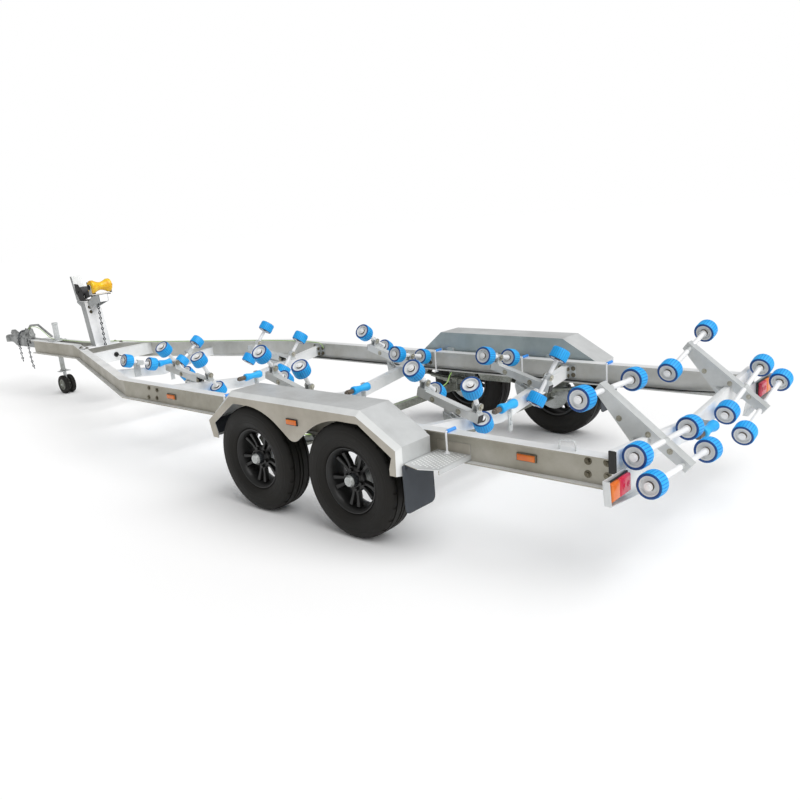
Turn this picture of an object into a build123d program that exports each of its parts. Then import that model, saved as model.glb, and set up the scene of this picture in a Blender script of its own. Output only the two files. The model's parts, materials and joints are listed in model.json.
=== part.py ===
"""Tandem-axle multi-roller boat trailer, welded from aluminium beams.

Units are millimetres.  +X points to the coupling, +Y to the left side, +Z up.
The origin is on the ground, under the middle of the trailer's overall box.
Places along the trailer are given from the point midway between the axles.
"""
import os
from math import atan2, cos, degrees, hypot, radians, sin, tan

from build123d import *

os.makedirs("parts", exist_ok=True)

# ---------------------------------------------------------------- driving dimensions
front_reach = 6800.0         # coupling nose, ahead of the axle midpoint
rear_reach = 2072.0          # last rollers, behind the axle midpoint
axle_mid_x = (rear_reach - front_reach) / 2

# main rails: I-beams, straight beside the wheels, then swept in to the drawbar
rail_height = 150.0
rail_width = 75.0
rail_flange = 7.0
rail_web = 5.0
rail_top = 605.0
rail_bottom = rail_top - rail_height
rail_rear_x = -1813.0
rail_bend_x = 2420.0
rail_y = 870.5               # middle of the web on the straight part
rail_sweep = 18.3            # degrees between the swept part and the trailer's axis
rail_nose_x = 5900.0

# drawbar box between the rail noses
drawbar_width = 75.0
drawbar_height = 125.0
drawbar_wall = 6.0
drawbar_rear_x = 5540.0
drawbar_nose_x = 6490.0
rail_nose_y = (drawbar_width + rail_width) / 2

# wheels and axles
axle_spacing = 816.0
track_half = 1083.5          # wheel's middle plane
tyre_radius = 333.0
tyre_width = 196.0
rim_radius = 190.0
rim_width = 150.0
bead_radius = 178.0
rim_drop_radius = 163.0
axle_beam = 50.0
stub_radius = 20.0
running_clearance = 0.05
loose_clearance = 0.3

# mudguards
guard_inner_y = 927.0
guard_outer_y = 1183.0
guard_top = 748.0
guard_sheet = 4.0
guard_bevel = 28.0
guard_arch_radius = 372.0

# boat rollers
roller_radius = 61.0
roller_width = 78.0
rod_radius = 12.0
roller_bore = 12.3
keel_roller_radius = 31.0
keel_roller_waist = 23.0
keel_roller_length = 165.0


def along(x):
    """X in the trailer's frame for a place measured from the axle midpoint."""
    return axle_mid_x + x


def sheet_outline(path, half):
    """Corners of a strip of even width that follows a plan path, with mitred bends."""
    normals = []
    for (x0, y0), (x1, y1) in zip(path, path[1:]):
        run = hypot(x1 - x0, y1 - y0)
        normals.append((-(y1 - y0) / run, (x1 - x0) / run))
    offsets = []
    for index, point in enumerate(path):
        before = normals[max(index - 1, 0)]
        after = normals[min(index, len(normals) - 1)]
        scale = half / (1 + before[0] * after[0] + before[1] * after[1])
        offsets.append(((before[0] + after[0]) * scale, (before[1] + after[1]) * scale))
    left = [(p[0] + o[0], p[1] + o[1]) for p, o in zip(path, offsets)]
    right = [(p[0] - o[0], p[1] - o[1]) for p, o in zip(path, offsets)]
    return left + right[::-1]


def save(piece, name):
    piece.label = name
    export_step(piece, f"parts/{name}.step")


# ---------------------------------------------------------------- main rails
sweep_length = (rail_y - rail_nose_y) / tan(radians(rail_sweep))
rail_path = [
    (along(rail_rear_x), rail_y),
    (along(rail_bend_x), rail_y),
    (along(rail_bend_x + sweep_length), rail_nose_y),
    (along(rail_nose_x), rail_nose_y),
]


def main_rail(side):
    path = [(x, side * y) for x, y in rail_path]
    layers = (
        # bottom of the layer, its height, its width
        (rail_bottom, rail_flange, rail_width),
        (rail_bottom + rail_flange, rail_height - 2 * rail_flange, rail_web),
        (rail_top - rail_flange, rail_flange, rail_width),
    )
    with BuildPart() as rail:
        for bottom, height, width in layers:
            with BuildSketch(Plane.XY.offset(bottom)):
                with BuildLine():
                    Polyline(*sheet_outline(path, width / 2), close=True)
                make_face()
            extrude(amount=height)
    return rail.part


save(main_rail(1), "main_rail_left")
save(main_rail(-1), "main_rail_right")


# ---------------------------------------------------------------- drawbar and coupling
socket_x = 6752.0
socket_radius = 48.0
ball_radius = 25.4
coupling_rear_x = 6140.0
coupling_top = 668.0
coupling_floor = rail_top
drawbar_bottom = rail_top - drawbar_height

with BuildPart() as drawbar:
    with BuildSketch(Plane.YZ.offset(along(drawbar_rear_x))):
        with Locations((0, rail_top - drawbar_height / 2)):
            Rectangle(drawbar_width, drawbar_height)
            Rectangle(drawbar_width - 2 * drawbar_wall, drawbar_height - 2 * drawbar_wall, mode=Mode.SUBTRACT)
    extrude(amount=drawbar_nose_x - drawbar_rear_x)
save(drawbar.part, "drawbar")

with BuildPart() as coupling:
    with BuildSketch(Plane.XZ) as side_view:
        with BuildLine():
            Polyline(
                (along(coupling_rear_x), coupling_floor),
                (along(coupling_rear_x), coupling_floor + 12),
                (along(coupling_rear_x + 60), coupling_top - 20),
                (along(coupling_rear_x + 140), coupling_top),
                (along(6420), coupling_top - 4),
                (along(6560), 628),
                (along(socket_x), 618),
                (along(socket_x), 540),
                (along(6560), 560),
                (along(drawbar_nose_x + 20), coupling_floor - 30),
                (along(drawbar_nose_x), coupling_floor),
                close=True,
            )
        make_face()
    extrude(amount=drawbar_width / 2 - 6, both=True)
    with BuildSketch(Plane.XY.offset(534)):
        with Locations((along(socket_x), 0)):
            Circle(socket_radius)
    extrude(amount=84)
    with BuildSketch(Plane.XY.offset(534)):
        with Locations((along(socket_x), 0)):
            Circle(ball_radius + 0.2)
    extrude(amount=34, mode=Mode.SUBTRACT)
    with Locations((along(socket_x), 0, 568)):
        Sphere(ball_radius + 0.2, mode=Mode.SUBTRACT)

with BuildPart() as brake_lever:
    with BuildSketch(Plane.XZ.offset(-12)):
        with BuildLine():
            Polyline(
                (along(6230), coupling_top - 34),
                (along(6190), 745),
                (along(6100), 775),
                (along(5950), 668),
                (along(5962), 655),
                (along(6100), 752),
                (along(6172), 728),
                (along(6200), coupling_top - 34),
                close=True,
            )
        make_face()
    extrude(amount=24)
save(coupling.part + brake_lever.part, "coupling")


# ---------------------------------------------------------------- cross-members
cross_rise = 0.128           # the arms' climb from the middle to the rails
cross_depth = 80.0           # height of the arm's box
cross_breadth = 50.0
cross_wall = 5.0
cross_mid_top = 464.0
# keel roller's place along the trailer and its height, the cross-member's place
front_keel = (3220.0, 509.0, 3305.0)
keel_stations = (
    (1890.0, 484.0, 1990.0),
    (617.0, 490.0, 705.0),
    (-671.0, 496.0, -599.0),
)
rear_keel = (-1915.0, 507.0)
winch_cross_x = 4050.0
winch_cross_height = 115.0
winch_cross_breadth = 60.0
rear_cross_depth = 110.0
rear_cross_breadth = 40.0
rear_cross_reach = 950.0
rear_cross_mid_top = 560.0
rear_cross_rise = 0.074


def arm_top(y):
    return cross_mid_top + cross_rise * abs(y)


def rail_inner_y(x):
    """Inner face of the rail's web at a place along the trailer."""
    if x < rail_bend_x:
        return rail_y - rail_web / 2
    swept = (x - rail_bend_x) * tan(radians(rail_sweep))
    return rail_y - swept - rail_web / 2 / cos(radians(rail_sweep))


def rail_space(x):
    """What the two rails take up near a cross-member: its ends are trimmed by this."""
    near, far = x - 60, x + 60
    layers = (
        # how far the block reaches inboard of the web, its height
        (0, rail_top),
        (rail_width / 2, rail_bottom + rail_flange),
    )
    with BuildPart() as blocks:
        for inboard, height in layers:
            with BuildSketch():
                for side in (1, -1):
                    with BuildLine():
                        Polyline(
                            (along(near), side * (rail_inner_y(near) - inboard)),
                            (along(far), side * (rail_inner_y(far) - inboard)),
                            (along(far), side * 1200),
                            (along(near), side * 1200),
                            close=True,
                        )
                    make_face()
            extrude(amount=height)
    return blocks.part


def arm_outline(inset):
    """Corners of the V across the trailer, past the rails."""
    reach = rail_y + 20
    low = cross_depth - inset
    return (
        (-reach, arm_top(reach) - low),
        (-reach, arm_top(reach) - inset),
        (0, arm_top(0) - inset),
        (reach, arm_top(reach) - inset),
        (reach, arm_top(reach) - low),
        (0, arm_top(0) - low),
    )


def v_crossmember(x):
    with BuildPart() as member:
        for inset, mode in ((0, Mode.ADD), (cross_wall, Mode.SUBTRACT)):
            with BuildSketch(Plane.YZ.offset(along(x) - cross_breadth / 2 + inset)):
                with BuildLine():
                    Polyline(*arm_outline(inset), close=True)
                make_face()
            extrude(amount=cross_breadth - 2 * inset, mode=mode)
        add(rail_space(x), mode=Mode.SUBTRACT)
    return member.part


members = [v_crossmember(x) for _, _, x in (front_keel,) + keel_stations]

with BuildPart() as winch_crossmember:
    with Locations((along(winch_cross_x), 0, rail_top - rail_flange - 1 - winch_cross_height / 2)):
        Box(winch_cross_breadth, 1000, winch_cross_height)
        Box(
            winch_cross_breadth - 2 * cross_wall,
            1000,
            winch_cross_height - 2 * cross_wall,
            mode=Mode.SUBTRACT,
        )
    add(rail_space(winch_cross_x), mode=Mode.SUBTRACT)
members.append(winch_crossmember.part)
save(Compound(children=members), "crossmembers")


def rear_top(y):
    return rear_cross_mid_top + rear_cross_rise * abs(y)


def rear_outline(inset):
    reach = rear_cross_reach
    low = rear_cross_depth - inset
    return (
        (-reach, rear_top(reach) - low),
        (-reach, rear_top(reach) - inset),
        (0, rear_top(0) - inset),
        (reach, rear_top(reach) - inset),
        (reach, rear_top(reach) - low),
        (0, rear_top(0) - low),
    )


rear_face_x = rail_rear_x - rear_cross_breadth
with BuildPart() as rear_crossmember:
    with BuildSketch(Plane.YZ.offset(along(rear_face_x))):
        with BuildLine():
            Polyline(*rear_outline(0), close=True)
        make_face()
    extrude(amount=rear_cross_breadth)
    with BuildSketch(Plane.YZ.offset(along(rear_face_x + cross_wall))):
        with BuildLine():
            Polyline(*rear_outline(cross_wall), close=True)
        make_face()
    extrude(amount=rear_cross_breadth - 2 * cross_wall, mode=Mode.SUBTRACT)
save(rear_crossmember.part, "rear_crossmember")


# ---------------------------------------------------------------- keel rollers
keel_places = [(x, z) for x, z, _ in (front_keel,) + keel_stations] + [rear_keel]
yoke_sheet = 6.0
yoke_width = 40.0
keel_gap = 1.0


def keel_roller(x, z):
    half = keel_roller_length / 2
    with BuildPart() as roller:
        with BuildSketch(Plane.XY):
            with BuildLine():
                Polyline((rod_radius + loose_clearance, -half), (keel_roller_radius - 4, -half))
                Line((keel_roller_radius - 4, -half), (keel_roller_radius, -half + 6))
                Line((keel_roller_radius, -half + 6), (keel_roller_radius, -half + 26))
                ThreePointArc(
                    (keel_roller_radius, -half + 26),
                    (keel_roller_waist, 0),
                    (keel_roller_radius, half - 26),
                )
                Line((keel_roller_radius, half - 26), (keel_roller_radius, half - 6))
                Line((keel_roller_radius, half - 6), (keel_roller_radius - 4, half))
                Polyline((keel_roller_radius - 4, half), (rod_radius + loose_clearance, half))
                Line((rod_radius + loose_clearance, half), (rod_radius + loose_clearance, -half))
            make_face()
        revolve(axis=Axis.Y)
    return Location((along(x), 0, z)) * roller.part


save(Compound(children=[keel_roller(x, z) for x, z in keel_places]), "keel_rollers")


def keel_bracket(x, z, stem_face, stem_high):
    """Yoke round a keel roller, on a slotted stem against the cross-member's rear face."""
    inner = keel_roller_length / 2 + keel_gap
    lowest = z - keel_roller_radius - 8
    with BuildPart() as bracket:
        for side in (-1, 1):
            with BuildSketch(Plane.XZ.offset(-side * (inner + yoke_sheet / 2))):
                with Locations((along(x), (z + lowest - yoke_sheet) / 2)):
                    Rectangle(yoke_width, z - lowest + yoke_sheet)
                with Locations((along(x), z)):
                    Circle(yoke_width / 2)
            extrude(amount=yoke_sheet / 2, both=True)
        with Locations((along(x), 0, lowest - yoke_sheet / 2)):
            Box(yoke_width, 2 * (inner + yoke_sheet), yoke_sheet)
        with Locations((along(x), 0, z)):
            Cylinder(rod_radius, 2 * (inner + yoke_sheet) + 16, rotation=(90, 0, 0))
        stem_low = z - 192
        with Locations((along(stem_face) - yoke_sheet / 2, 0, (stem_high + stem_low) / 2)):
            Box(yoke_sheet, yoke_width, stem_high - stem_low)
        with Locations((along((stem_face + x) / 2) - yoke_sheet / 2, 0, lowest - yoke_sheet / 2)):
            Box(abs(stem_face - x) + yoke_sheet, yoke_width, yoke_sheet)
    return bracket.part


brackets = [
    keel_bracket(x, z, cross_x - cross_breadth / 2, z - keel_roller_radius - 8)
    for x, z, cross_x in (front_keel,) + keel_stations
]
brackets.append(keel_bracket(rear_keel[0], rear_keel[1], rear_face_x, rear_cross_mid_top - 10))
save(Compound(children=brackets), "keel_brackets")


# ---------------------------------------------------------------- roller cradles
beam_width = 50.0
beam_depth = 50.0
beam_wall = 4.0
rocker_drop = 72.0           # rods stand this high over the beam's middle line
rocker_span = 330.0          # between the middles of a rocker's two rollers
rear_span = 520.0
pivot_drop = 56.0
pivot_radius = 8.0
lug_width = 24.0
clevis_gap = 5.0
clevis_sheet = 8.0

# one row per cradle: name, side spacing, front rod (x, z), rear rod (x, z),
# tilt of the front and rear rods about the beam on the left and on the right,
# where the beam starts and ends, how far the pivot stands ahead of the rods' middle
rocker_cradles = (
    ("front", 434.0, (2329.0, 661.0), (1874.0, 588.0), (-51, -59), (-52, -52), (2024.0, 2460.0), 60.0),
    ("second", 526.0, (931.0, 737.0), (569.0, 637.0), (-47, -58), (33, 15), (520.0, 1000.0), 0.0),
    ("middle", 392.0, (-347.0, 712.0), (-732.0, 602.0), (-39, -55), (14, -57), (-745.0, -300.0), 0.0),
)
# rods of the rear cradle: x, y, z
rear_rods = ((-1615.0, 494.0, 814.0), (-1919.0, 547.0, 603.0), (-2011.0, 578.0, 503.0))
rear_pivot = (-1785.0, 588.0)
rear_beam_y = 540.0
rear_tilts = (-3, -14)


with BuildPart() as boat_roller:
    half = roller_width / 2
    with BuildSketch(Plane.XZ):
        with BuildLine():
            Polyline(
                (roller_bore, -half + 8),
                (roller_radius - 22, -half + 8),
                (roller_radius - 19, -half),
                (roller_radius - 8, -half),
                (roller_radius, -half + 10),
                (roller_radius, half - 10),
                (roller_radius - 8, half),
                (roller_radius - 19, half),
                (roller_radius - 22, half - 8),
                (roller_bore, half - 8),
                close=True,
            )
        make_face()
    revolve(axis=Axis.Z)


def rollers_on_rod(centre, tilt, span):
    """Two rollers on a rod across the trailer, its left end raised by the tilt."""
    rod = Location(centre, (tilt, 0, 0))
    return [rod * Location((0, end * span / 2, 0), (90, 0, 0)) * boat_roller.part for end in (-1, 1)]


def rod_location(x, y, z, tilt):
    return Location((x, y, z), (tilt, 0, 0))


def side_name(side):
    return "left" if side > 0 else "right"


def rocker_cradle(tilts, length, rear_end, front_end, ahead):
    """Beam with a lug below, and two yokes whose rods tilt about the beam."""
    stations = ((length / 2, tilts[0]), (-length / 2, tilts[1]))
    rod_length = rocker_span + roller_width + 12
    top = beam_depth / 2
    with BuildPart() as beam:
        with Locations(((rear_end + front_end) / 2, 0, 0)):
            Box(front_end - rear_end, beam_width, beam_depth)
            Box(
                front_end - rear_end,
                beam_width - 2 * beam_wall,
                beam_depth - 2 * beam_wall,
                mode=Mode.SUBTRACT,
            )
        for x, tilt in stations:
            # plate under the yoke, reaching back to the beam where the yoke overhangs it
            start = min(x - 30, front_end - 60)
            end = max(x + 30, rear_end + 60)
            with Locations(((start + end) / 2, 0, top + 5)):
                Box(end - start, beam_width, 10)
            for face in (-1, 1):
                with Locations((x + face * (rod_radius + 6), 0, (rocker_drop + top) / 2)):
                    Box(6, 44, rocker_drop - top)
                with Locations((x + face * (rod_radius + 6), 0, rocker_drop)):
                    Cylinder(22, 6, rotation=(0, 90, 0))
            with Locations((x, 0, rocker_drop)):
                Cylinder(8, 2 * rod_radius + 26, rotation=(0, 90, 0))
            with Locations(rod_location(x, 0, rocker_drop, tilt)):
                Cylinder(rod_radius, rod_length, rotation=(90, 0, 0))
        with Locations((ahead, 0, -pivot_drop / 2 - 18)):
            Box(44, lug_width, pivot_drop - 4)
        with Locations((ahead, 0, -pivot_drop)):
            Cylinder(pivot_radius + running_clearance, lug_width + 2, rotation=(90, 0, 0), mode=Mode.SUBTRACT)
    rollers = []
    for x, tilt in stations:
        rollers += rollers_on_rod((x, 0, rocker_drop), tilt, rocker_span)
    return beam.part, Compound(children=rollers)


cradle_pivots = []
for name, spacing, front, rear, left_tilts, right_tilts, ends, ahead in rocker_cradles:
    slope = atan2(front[1] - rear[1], front[0] - rear[0])
    length = hypot(front[0] - rear[0], front[1] - rear[1])
    middle_x = (front[0] + rear[0]) / 2 + rocker_drop * sin(slope)
    middle_z = (front[1] + rear[1]) / 2 - rocker_drop * cos(slope)
    pivot_x = middle_x + ahead * cos(slope) + pivot_drop * sin(slope)
    pivot_z = middle_z + ahead * sin(slope) - pivot_drop * cos(slope)
    rear_end, front_end = [(x - middle_x) / cos(slope) for x in ends]
    for side, tilts in ((1, left_tilts), (-1, right_tilts)):
        y = side * spacing
        turned = [-side * tilt for tilt in tilts]
        beam, rollers = rocker_cradle(turned, length, rear_end, front_end, ahead)
        place = Location((along(middle_x), y, middle_z), (0, -degrees(slope), 0))
        save(place * beam, f"{name}_cradle_{side_name(side)}")
        save(place * rollers, f"{name}_rollers_{side_name(side)}")
        cradle_pivots.append((name, pivot_x, y, pivot_z))


# ---------------------------------------------------------------- rear cradles
rear_slope = atan2(rear_rods[0][2] - rear_rods[2][2], rear_rods[0][0] - rear_rods[2][0])
rear_beam_width = 60.0
rear_beam_sheet = 5.0


def beside_rods(rod, ahead, up):
    """Point in the side view, offset from a rod along and square to the cradle."""
    x, _, z = rod
    return (
        along(x) + ahead * cos(rear_slope) - up * sin(rear_slope),
        z + ahead * sin(rear_slope) + up * cos(rear_slope),
    )


rear_pivot_x, rear_pivot_z = rear_pivot
notch_top = rear_top(rear_beam_y) + 8
rear_side_view = (
    beside_rods(rear_rods[0], 35, 25),
    beside_rods(rear_rods[2], -30, 25),
    beside_rods(rear_rods[2], -30, -22),
    (along(rear_face_x - 8), notch_top - 22),
    (along(rear_face_x - 8), notch_top),
    (along(rail_rear_x + 7), notch_top),
    (along(rail_rear_x + 7), rear_pivot_z - 20),
    (along(rear_pivot_x + 20), rear_pivot_z - 20),
    beside_rods(rear_rods[0], 35, -25),
)
for side in (1, -1):
    y = side * rear_beam_y
    tilt = -side * (rear_tilts[0] if side > 0 else rear_tilts[1])
    with BuildPart() as beam:
        with BuildSketch(Plane.XZ.offset(-y)):
            with BuildLine():
                Polyline(*rear_side_view, close=True)
            make_face()
        extrude(amount=rear_beam_width / 2, both=True)
        with BuildSketch(Plane.XZ.offset(-y)):
            with BuildLine():
                Polyline(*rear_side_view, close=True)
            make_face()
            with Locations(Location((0, 0))):
                offset(amount=-rear_beam_sheet, mode=Mode.REPLACE)
        extrude(amount=rear_beam_width / 2 - rear_beam_sheet, both=True, mode=Mode.SUBTRACT)
        for x, rod_y, z in rear_rods:
            with Locations(rod_location(along(x), side * rod_y, z, tilt)):
                Cylinder(rod_radius, rear_span + roller_width + 12, rotation=(90, 0, 0))
        with Locations((along(rear_pivot_x), y, rear_pivot_z)):
            Cylinder(pivot_radius + running_clearance, 80, rotation=(90, 0, 0), mode=Mode.SUBTRACT)
    rollers = []
    for x, rod_y, z in rear_rods:
        rollers += rollers_on_rod((along(x), side * rod_y, z), tilt, rear_span)
    save(beam.part, f"rear_cradle_{side_name(side)}")
    save(Compound(children=rollers), f"rear_rollers_{side_name(side)}")


# ---------------------------------------------------------------- what carries the cradles
def clevis(x, y, z, base_x, half_gap, low, high):
    """Two cheeks with a pin between them, welded to a cross-member's front face."""
    with BuildPart() as cheeks:
        for end in (-1, 1):
            with BuildSketch(Plane.XZ.offset(-(y + end * (half_gap + clevis_sheet / 2)))):
                with BuildLine():
                    Polyline(
                        (along(base_x), low),
                        (along(base_x), high),
                        (along(x + 16), z + 14),
                        (along(x + 16), z - 14),
                        (along(x), low),
                        close=True,
                    )
                make_face()
            extrude(amount=clevis_sheet / 2, both=True)
        with Locations((along(x), y, z)):
            Cylinder(pivot_radius, 2 * (half_gap + clevis_sheet) + 12, rotation=(90, 0, 0))
    return cheeks.part


supports = []
for (name, x, y, z), station in zip(cradle_pivots, [s for s in keel_stations for _ in (1, -1)]):
    base = station[2] + cross_breadth / 2
    low = arm_top(abs(y)) - cross_depth + 10
    high = min(arm_top(abs(y)) - 10, z + 14)
    supports.append(clevis(x, y, z, base, lug_width / 2 + clevis_gap, low, high))
for side in (1, -1):
    y = side * rear_beam_y
    top = rear_top(rear_beam_y)
    supports.append(
        clevis(rear_pivot_x, y, rear_pivot_z, rail_rear_x, rear_beam_width / 2 + clevis_gap, top - 70, top - 2)
    )


# ---------------------------------------------------------------- front roller pairs
front_pair = (3212.0, 272.0, 562.0)
front_pair_span = 250.0
front_pair_tilts = (-18, -38)
pair_rollers = []
for side, tilt in ((1, front_pair_tilts[0]), (-1, front_pair_tilts[1])):
    x, spacing, z = front_pair
    y = side * spacing
    base = front_keel[2] - cross_breadth / 2
    with BuildPart() as stand:
        with Locations(rod_location(along(x), y, z, -side * tilt)):
            Box(30, 60, 44)
            Cylinder(rod_radius, front_pair_span + roller_width + 12, rotation=(90, 0, 0))
        low = arm_top(spacing) - cross_depth + 10
        with Locations((along(base) - 5, y, (z + low) / 2)):
            Box(10, 60, z - low)
        with Locations((along((base + x) / 2), y, z)):
            Box(base - x, 30, 24)
    supports.append(stand.part)
    pair_rollers += rollers_on_rod((along(x), y, z), -side * tilt, front_pair_span)
save(Compound(children=supports), "cradle_brackets")
save(Compound(children=pair_rollers), "front_pair_rollers")


# ---------------------------------------------------------------- mudguards
guard_front = (
    # outer panel's upper edge from the front lip to the rear lip: x, z
    (793.0, 468.0), (819.0, 538.0), (566.0, 720.0), (-526.0, 720.0), (-789.0, 568.0), (-782.0, 447.0),
)
guard_inner_low = 600.0
guard_bracket_places = (480.0, -440.0)
step_front_x = -813.0
step_rear_x = -1030.0
step_top = 495.0
step_sheet = 4.0
step_lip = 26.0


def guard_skin(side):
    """Bevelled box over both wheels, open below, with scalloped outer panel."""
    profile = [(along(x), z) for x, z in guard_front]
    crown = list(profile)
    lifted = [
        (along(793), 468), (along(833), 545), (along(575), guard_top), (along(-535), guard_top),
        (along(-812), 586), (along(-806), 447),
    ]

    def block(inset):
        low = 430.0
        top_line = [(x, z - inset * 1.2) for x, z in lifted]
        edge_line = [(x, z - inset * 1.2) for x, z in crown]
        top_line[0] = (lifted[0][0] - inset, low)
        top_line[1] = (lifted[1][0] - inset, lifted[1][1] - inset * 0.6)
        top_line[-1] = (lifted[-1][0] + inset, low)
        top_line[-2] = (lifted[-2][0] + inset, lifted[-2][1] - inset * 0.6)
        edge_line[0] = (crown[0][0] - inset, low)
        edge_line[1] = (crown[1][0] - inset, crown[1][1] - inset * 0.6)
        edge_line[-1] = (crown[-1][0] + inset, low)
        edge_line[-2] = (crown[-2][0] + inset, crown[-2][1] - inset * 0.6)
        inner = side * (guard_inner_y + inset)
        shoulder = side * (guard_outer_y - guard_bevel)
        outer = side * (guard_outer_y - inset)
        with BuildPart() as body:
            with BuildSketch(Plane.XZ.offset(-inner)):
                with BuildLine():
                    Polyline(*top_line, close=True)
                make_face()
            extrude(amount=-(shoulder - inner))
            with BuildSketch(Plane.XZ.offset(-shoulder)):
                with BuildLine():
                    Polyline(*top_line, close=True)
                make_face()
            with BuildSketch(Plane.XZ.offset(-outer)):
                with BuildLine():
                    Polyline(*edge_line, close=True)
                make_face()
            loft(ruled=True)
        return body.part

    with BuildPart() as guard:
        add(block(0))
        add(block(guard_sheet), mode=Mode.SUBTRACT)
        # the space below the front and rear lips, open to the road
        with Locations((along(0), side * (guard_inner_y + guard_outer_y) / 2, 430)):
            Box(1560, guard_outer_y - guard_inner_y - 2 * guard_sheet, 60, mode=Mode.SUBTRACT)
        # inner panel ends above the rail
        with Locations((along(0), side * guard_inner_y, guard_inner_low - 100)):
            Box(2000, 2 * guard_sheet + 2, 200, mode=Mode.SUBTRACT)
        # scalloped wheel openings in the outer panel
        for end in (-1, 1):
            with BuildSketch(Plane.XZ.offset(-side * (guard_outer_y - 20))):
                with BuildLine():
                    points = [
                        (45.0, 524.0), (118.0, 578.0), (265.0, 655.0), (440.0, 678.0),
                        (535.0, 678.0), (758.0, 528.0), (738.0, 466.0), (738.0, 400.0), (45.0, 400.0),
                    ]
                    placed = [(along(end * x), z) for x, z in points]
                    Line(placed[0], placed[1])
                    ThreePointArc(placed[1], placed[2], placed[3])
                    Polyline(*placed[3:], placed[0])
                make_face()
            extrude(amount=-side * 60, mode=Mode.SUBTRACT)
        with BuildSketch(Plane.XZ.offset(-side * (guard_outer_y - 20))):
            with BuildLine():
                Line((along(-46), 524), (along(-46), 400))
                Line((along(-46), 400), (along(46), 400))
                Line((along(46), 400), (along(46), 524))
                ThreePointArc((along(46), 524), (along(0), 508), (along(-46), 524))
            make_face()
        extrude(amount=-side * 60, mode=Mode.SUBTRACT)
        rail_face = rail_y + rail_width / 2
        for x in guard_bracket_places:
            with Locations((along(x), side * (rail_face + guard_inner_y) / 2, guard_inner_low + 2)):
                Box(60, guard_inner_y - rail_face, 50)
            with Locations((along(x), side * (guard_inner_y + guard_sheet / 2), guard_inner_low + 2)):
                Box(60, guard_sheet, 50)
    return guard.part


for side in (1, -1):
    save(guard_skin(side), f"mudguard_{side_name(side)}")

with BuildPart() as steps:
    web_face = rail_y + rail_web / 2
    for side in (1, -1):
        with BuildSketch(Plane.XY.offset(step_top - step_sheet)):
            with BuildLine():
                Polyline(
                    (along(step_front_x), side * web_face),
                    (along(step_front_x), side * 1150),
                    (along(step_front_x - 110), side * 1178),
                    (along(step_rear_x), side * 1140),
                    (along(step_rear_x), side * web_face),
                    close=True,
                )
            make_face()
        extrude(amount=step_sheet)
        with Locations((along(step_rear_x) + 2, side * (web_face + 1140) / 2, step_top - step_lip / 2)):
            Box(4, 1140 - web_face, step_lip)
        with Locations((along((step_front_x + step_rear_x) / 2), side * (web_face + 2), step_top + 25)):
            Box(step_front_x - step_rear_x, 4, 60)
save(steps.part, "mudguard_steps")

flap_low = 226.0
front_flap = ((826.3, 535.0), (794.3, 445.0), (789.3, 445.0), (821.3, 535.0))
with BuildPart() as mudflaps:
    for side in (1, -1):
        middle = side * (guard_inner_y + guard_outer_y) / 2
        high = step_top - step_sheet
        with Locations((along(-820), middle, (flap_low + high) / 2)):
            Box(6, 240, high - flap_low)
        with BuildSketch(Plane.XZ.offset(-side * 935)):
            with BuildLine():
                Polyline(*[(along(x), z) for x, z in front_flap], close=True)
            make_face()
        extrude(amount=-side * 215)
save(mudflaps.part, "mudflaps")


# ---------------------------------------------------------------- lamps
tray_sheet = 4.0
tray_face_x = rear_face_x - 46.0
lamp_height = 80.0
lamp_length = 205.0
lamp_depth = 34.0
lamp_mid_y = 903.0
lamp_mid_z = 507.0

with BuildPart() as lamp_trays:
    for side in (1, -1):
        with BuildSketch(Plane.YZ.offset(along(tray_face_x))):
            with BuildLine():
                Polyline(
                    (side * 852, 556), (side * 1072, 569), (side * 1058, 459), (side * 800, 444),
                    close=True,
                )
            make_face()
        extrude(amount=tray_sheet)
        with BuildSketch(Plane.YZ.offset(along(tray_face_x))):
            with BuildLine():
                Polyline(
                    (side * 852, 556), (side * 1072, 569), (side * 1072, 565), (side * 852, 552),
                    close=True,
                )
            make_face()
        extrude(amount=rail_rear_x - tray_face_x - 60)
        with Locations((along((tray_face_x + rear_face_x) / 2), side * 890, 525)):
            Box(rear_face_x - tray_face_x, 5, 60)
save(lamp_trays.part, "lamp_trays")

with BuildPart() as tail_lamps:
    for side in (1, -1):
        with Locations((along(tray_face_x) - lamp_depth / 2, side * lamp_mid_y, lamp_mid_z)):
            Box(lamp_depth, lamp_length, lamp_height)
    fillet(tail_lamps.edges().filter_by(Axis.X), 10)

marker_places = (
    # along the rail, and above the ground
    (-1300.0, 525.0),
    (1620.0, 540.0),
)
with BuildPart() as side_markers:
    web_face = rail_y + rail_web / 2
    for side in (1, -1):
        for x, z in marker_places:
            with Locations((along(x), side * (web_face + 9), z)):
                Box(110, 18, 46)
        with Locations((along(10), side * (guard_outer_y + 8), 610)):
            Box(90, 16, 42)
save(Compound(children=[tail_lamps.part, side_markers.part]), "lamps")


# ---------------------------------------------------------------- winch post
post_base_x = 4430.0
post_lean = 10.0
post_width = 170.0
post_depth = 100.0
post_wall = 5.0
post_top_z = 1075.0
post_foot = 10.0
post_bottom = rail_top + post_foot
lean_shift = (post_top_z - post_bottom) * tan(radians(post_lean))

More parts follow.
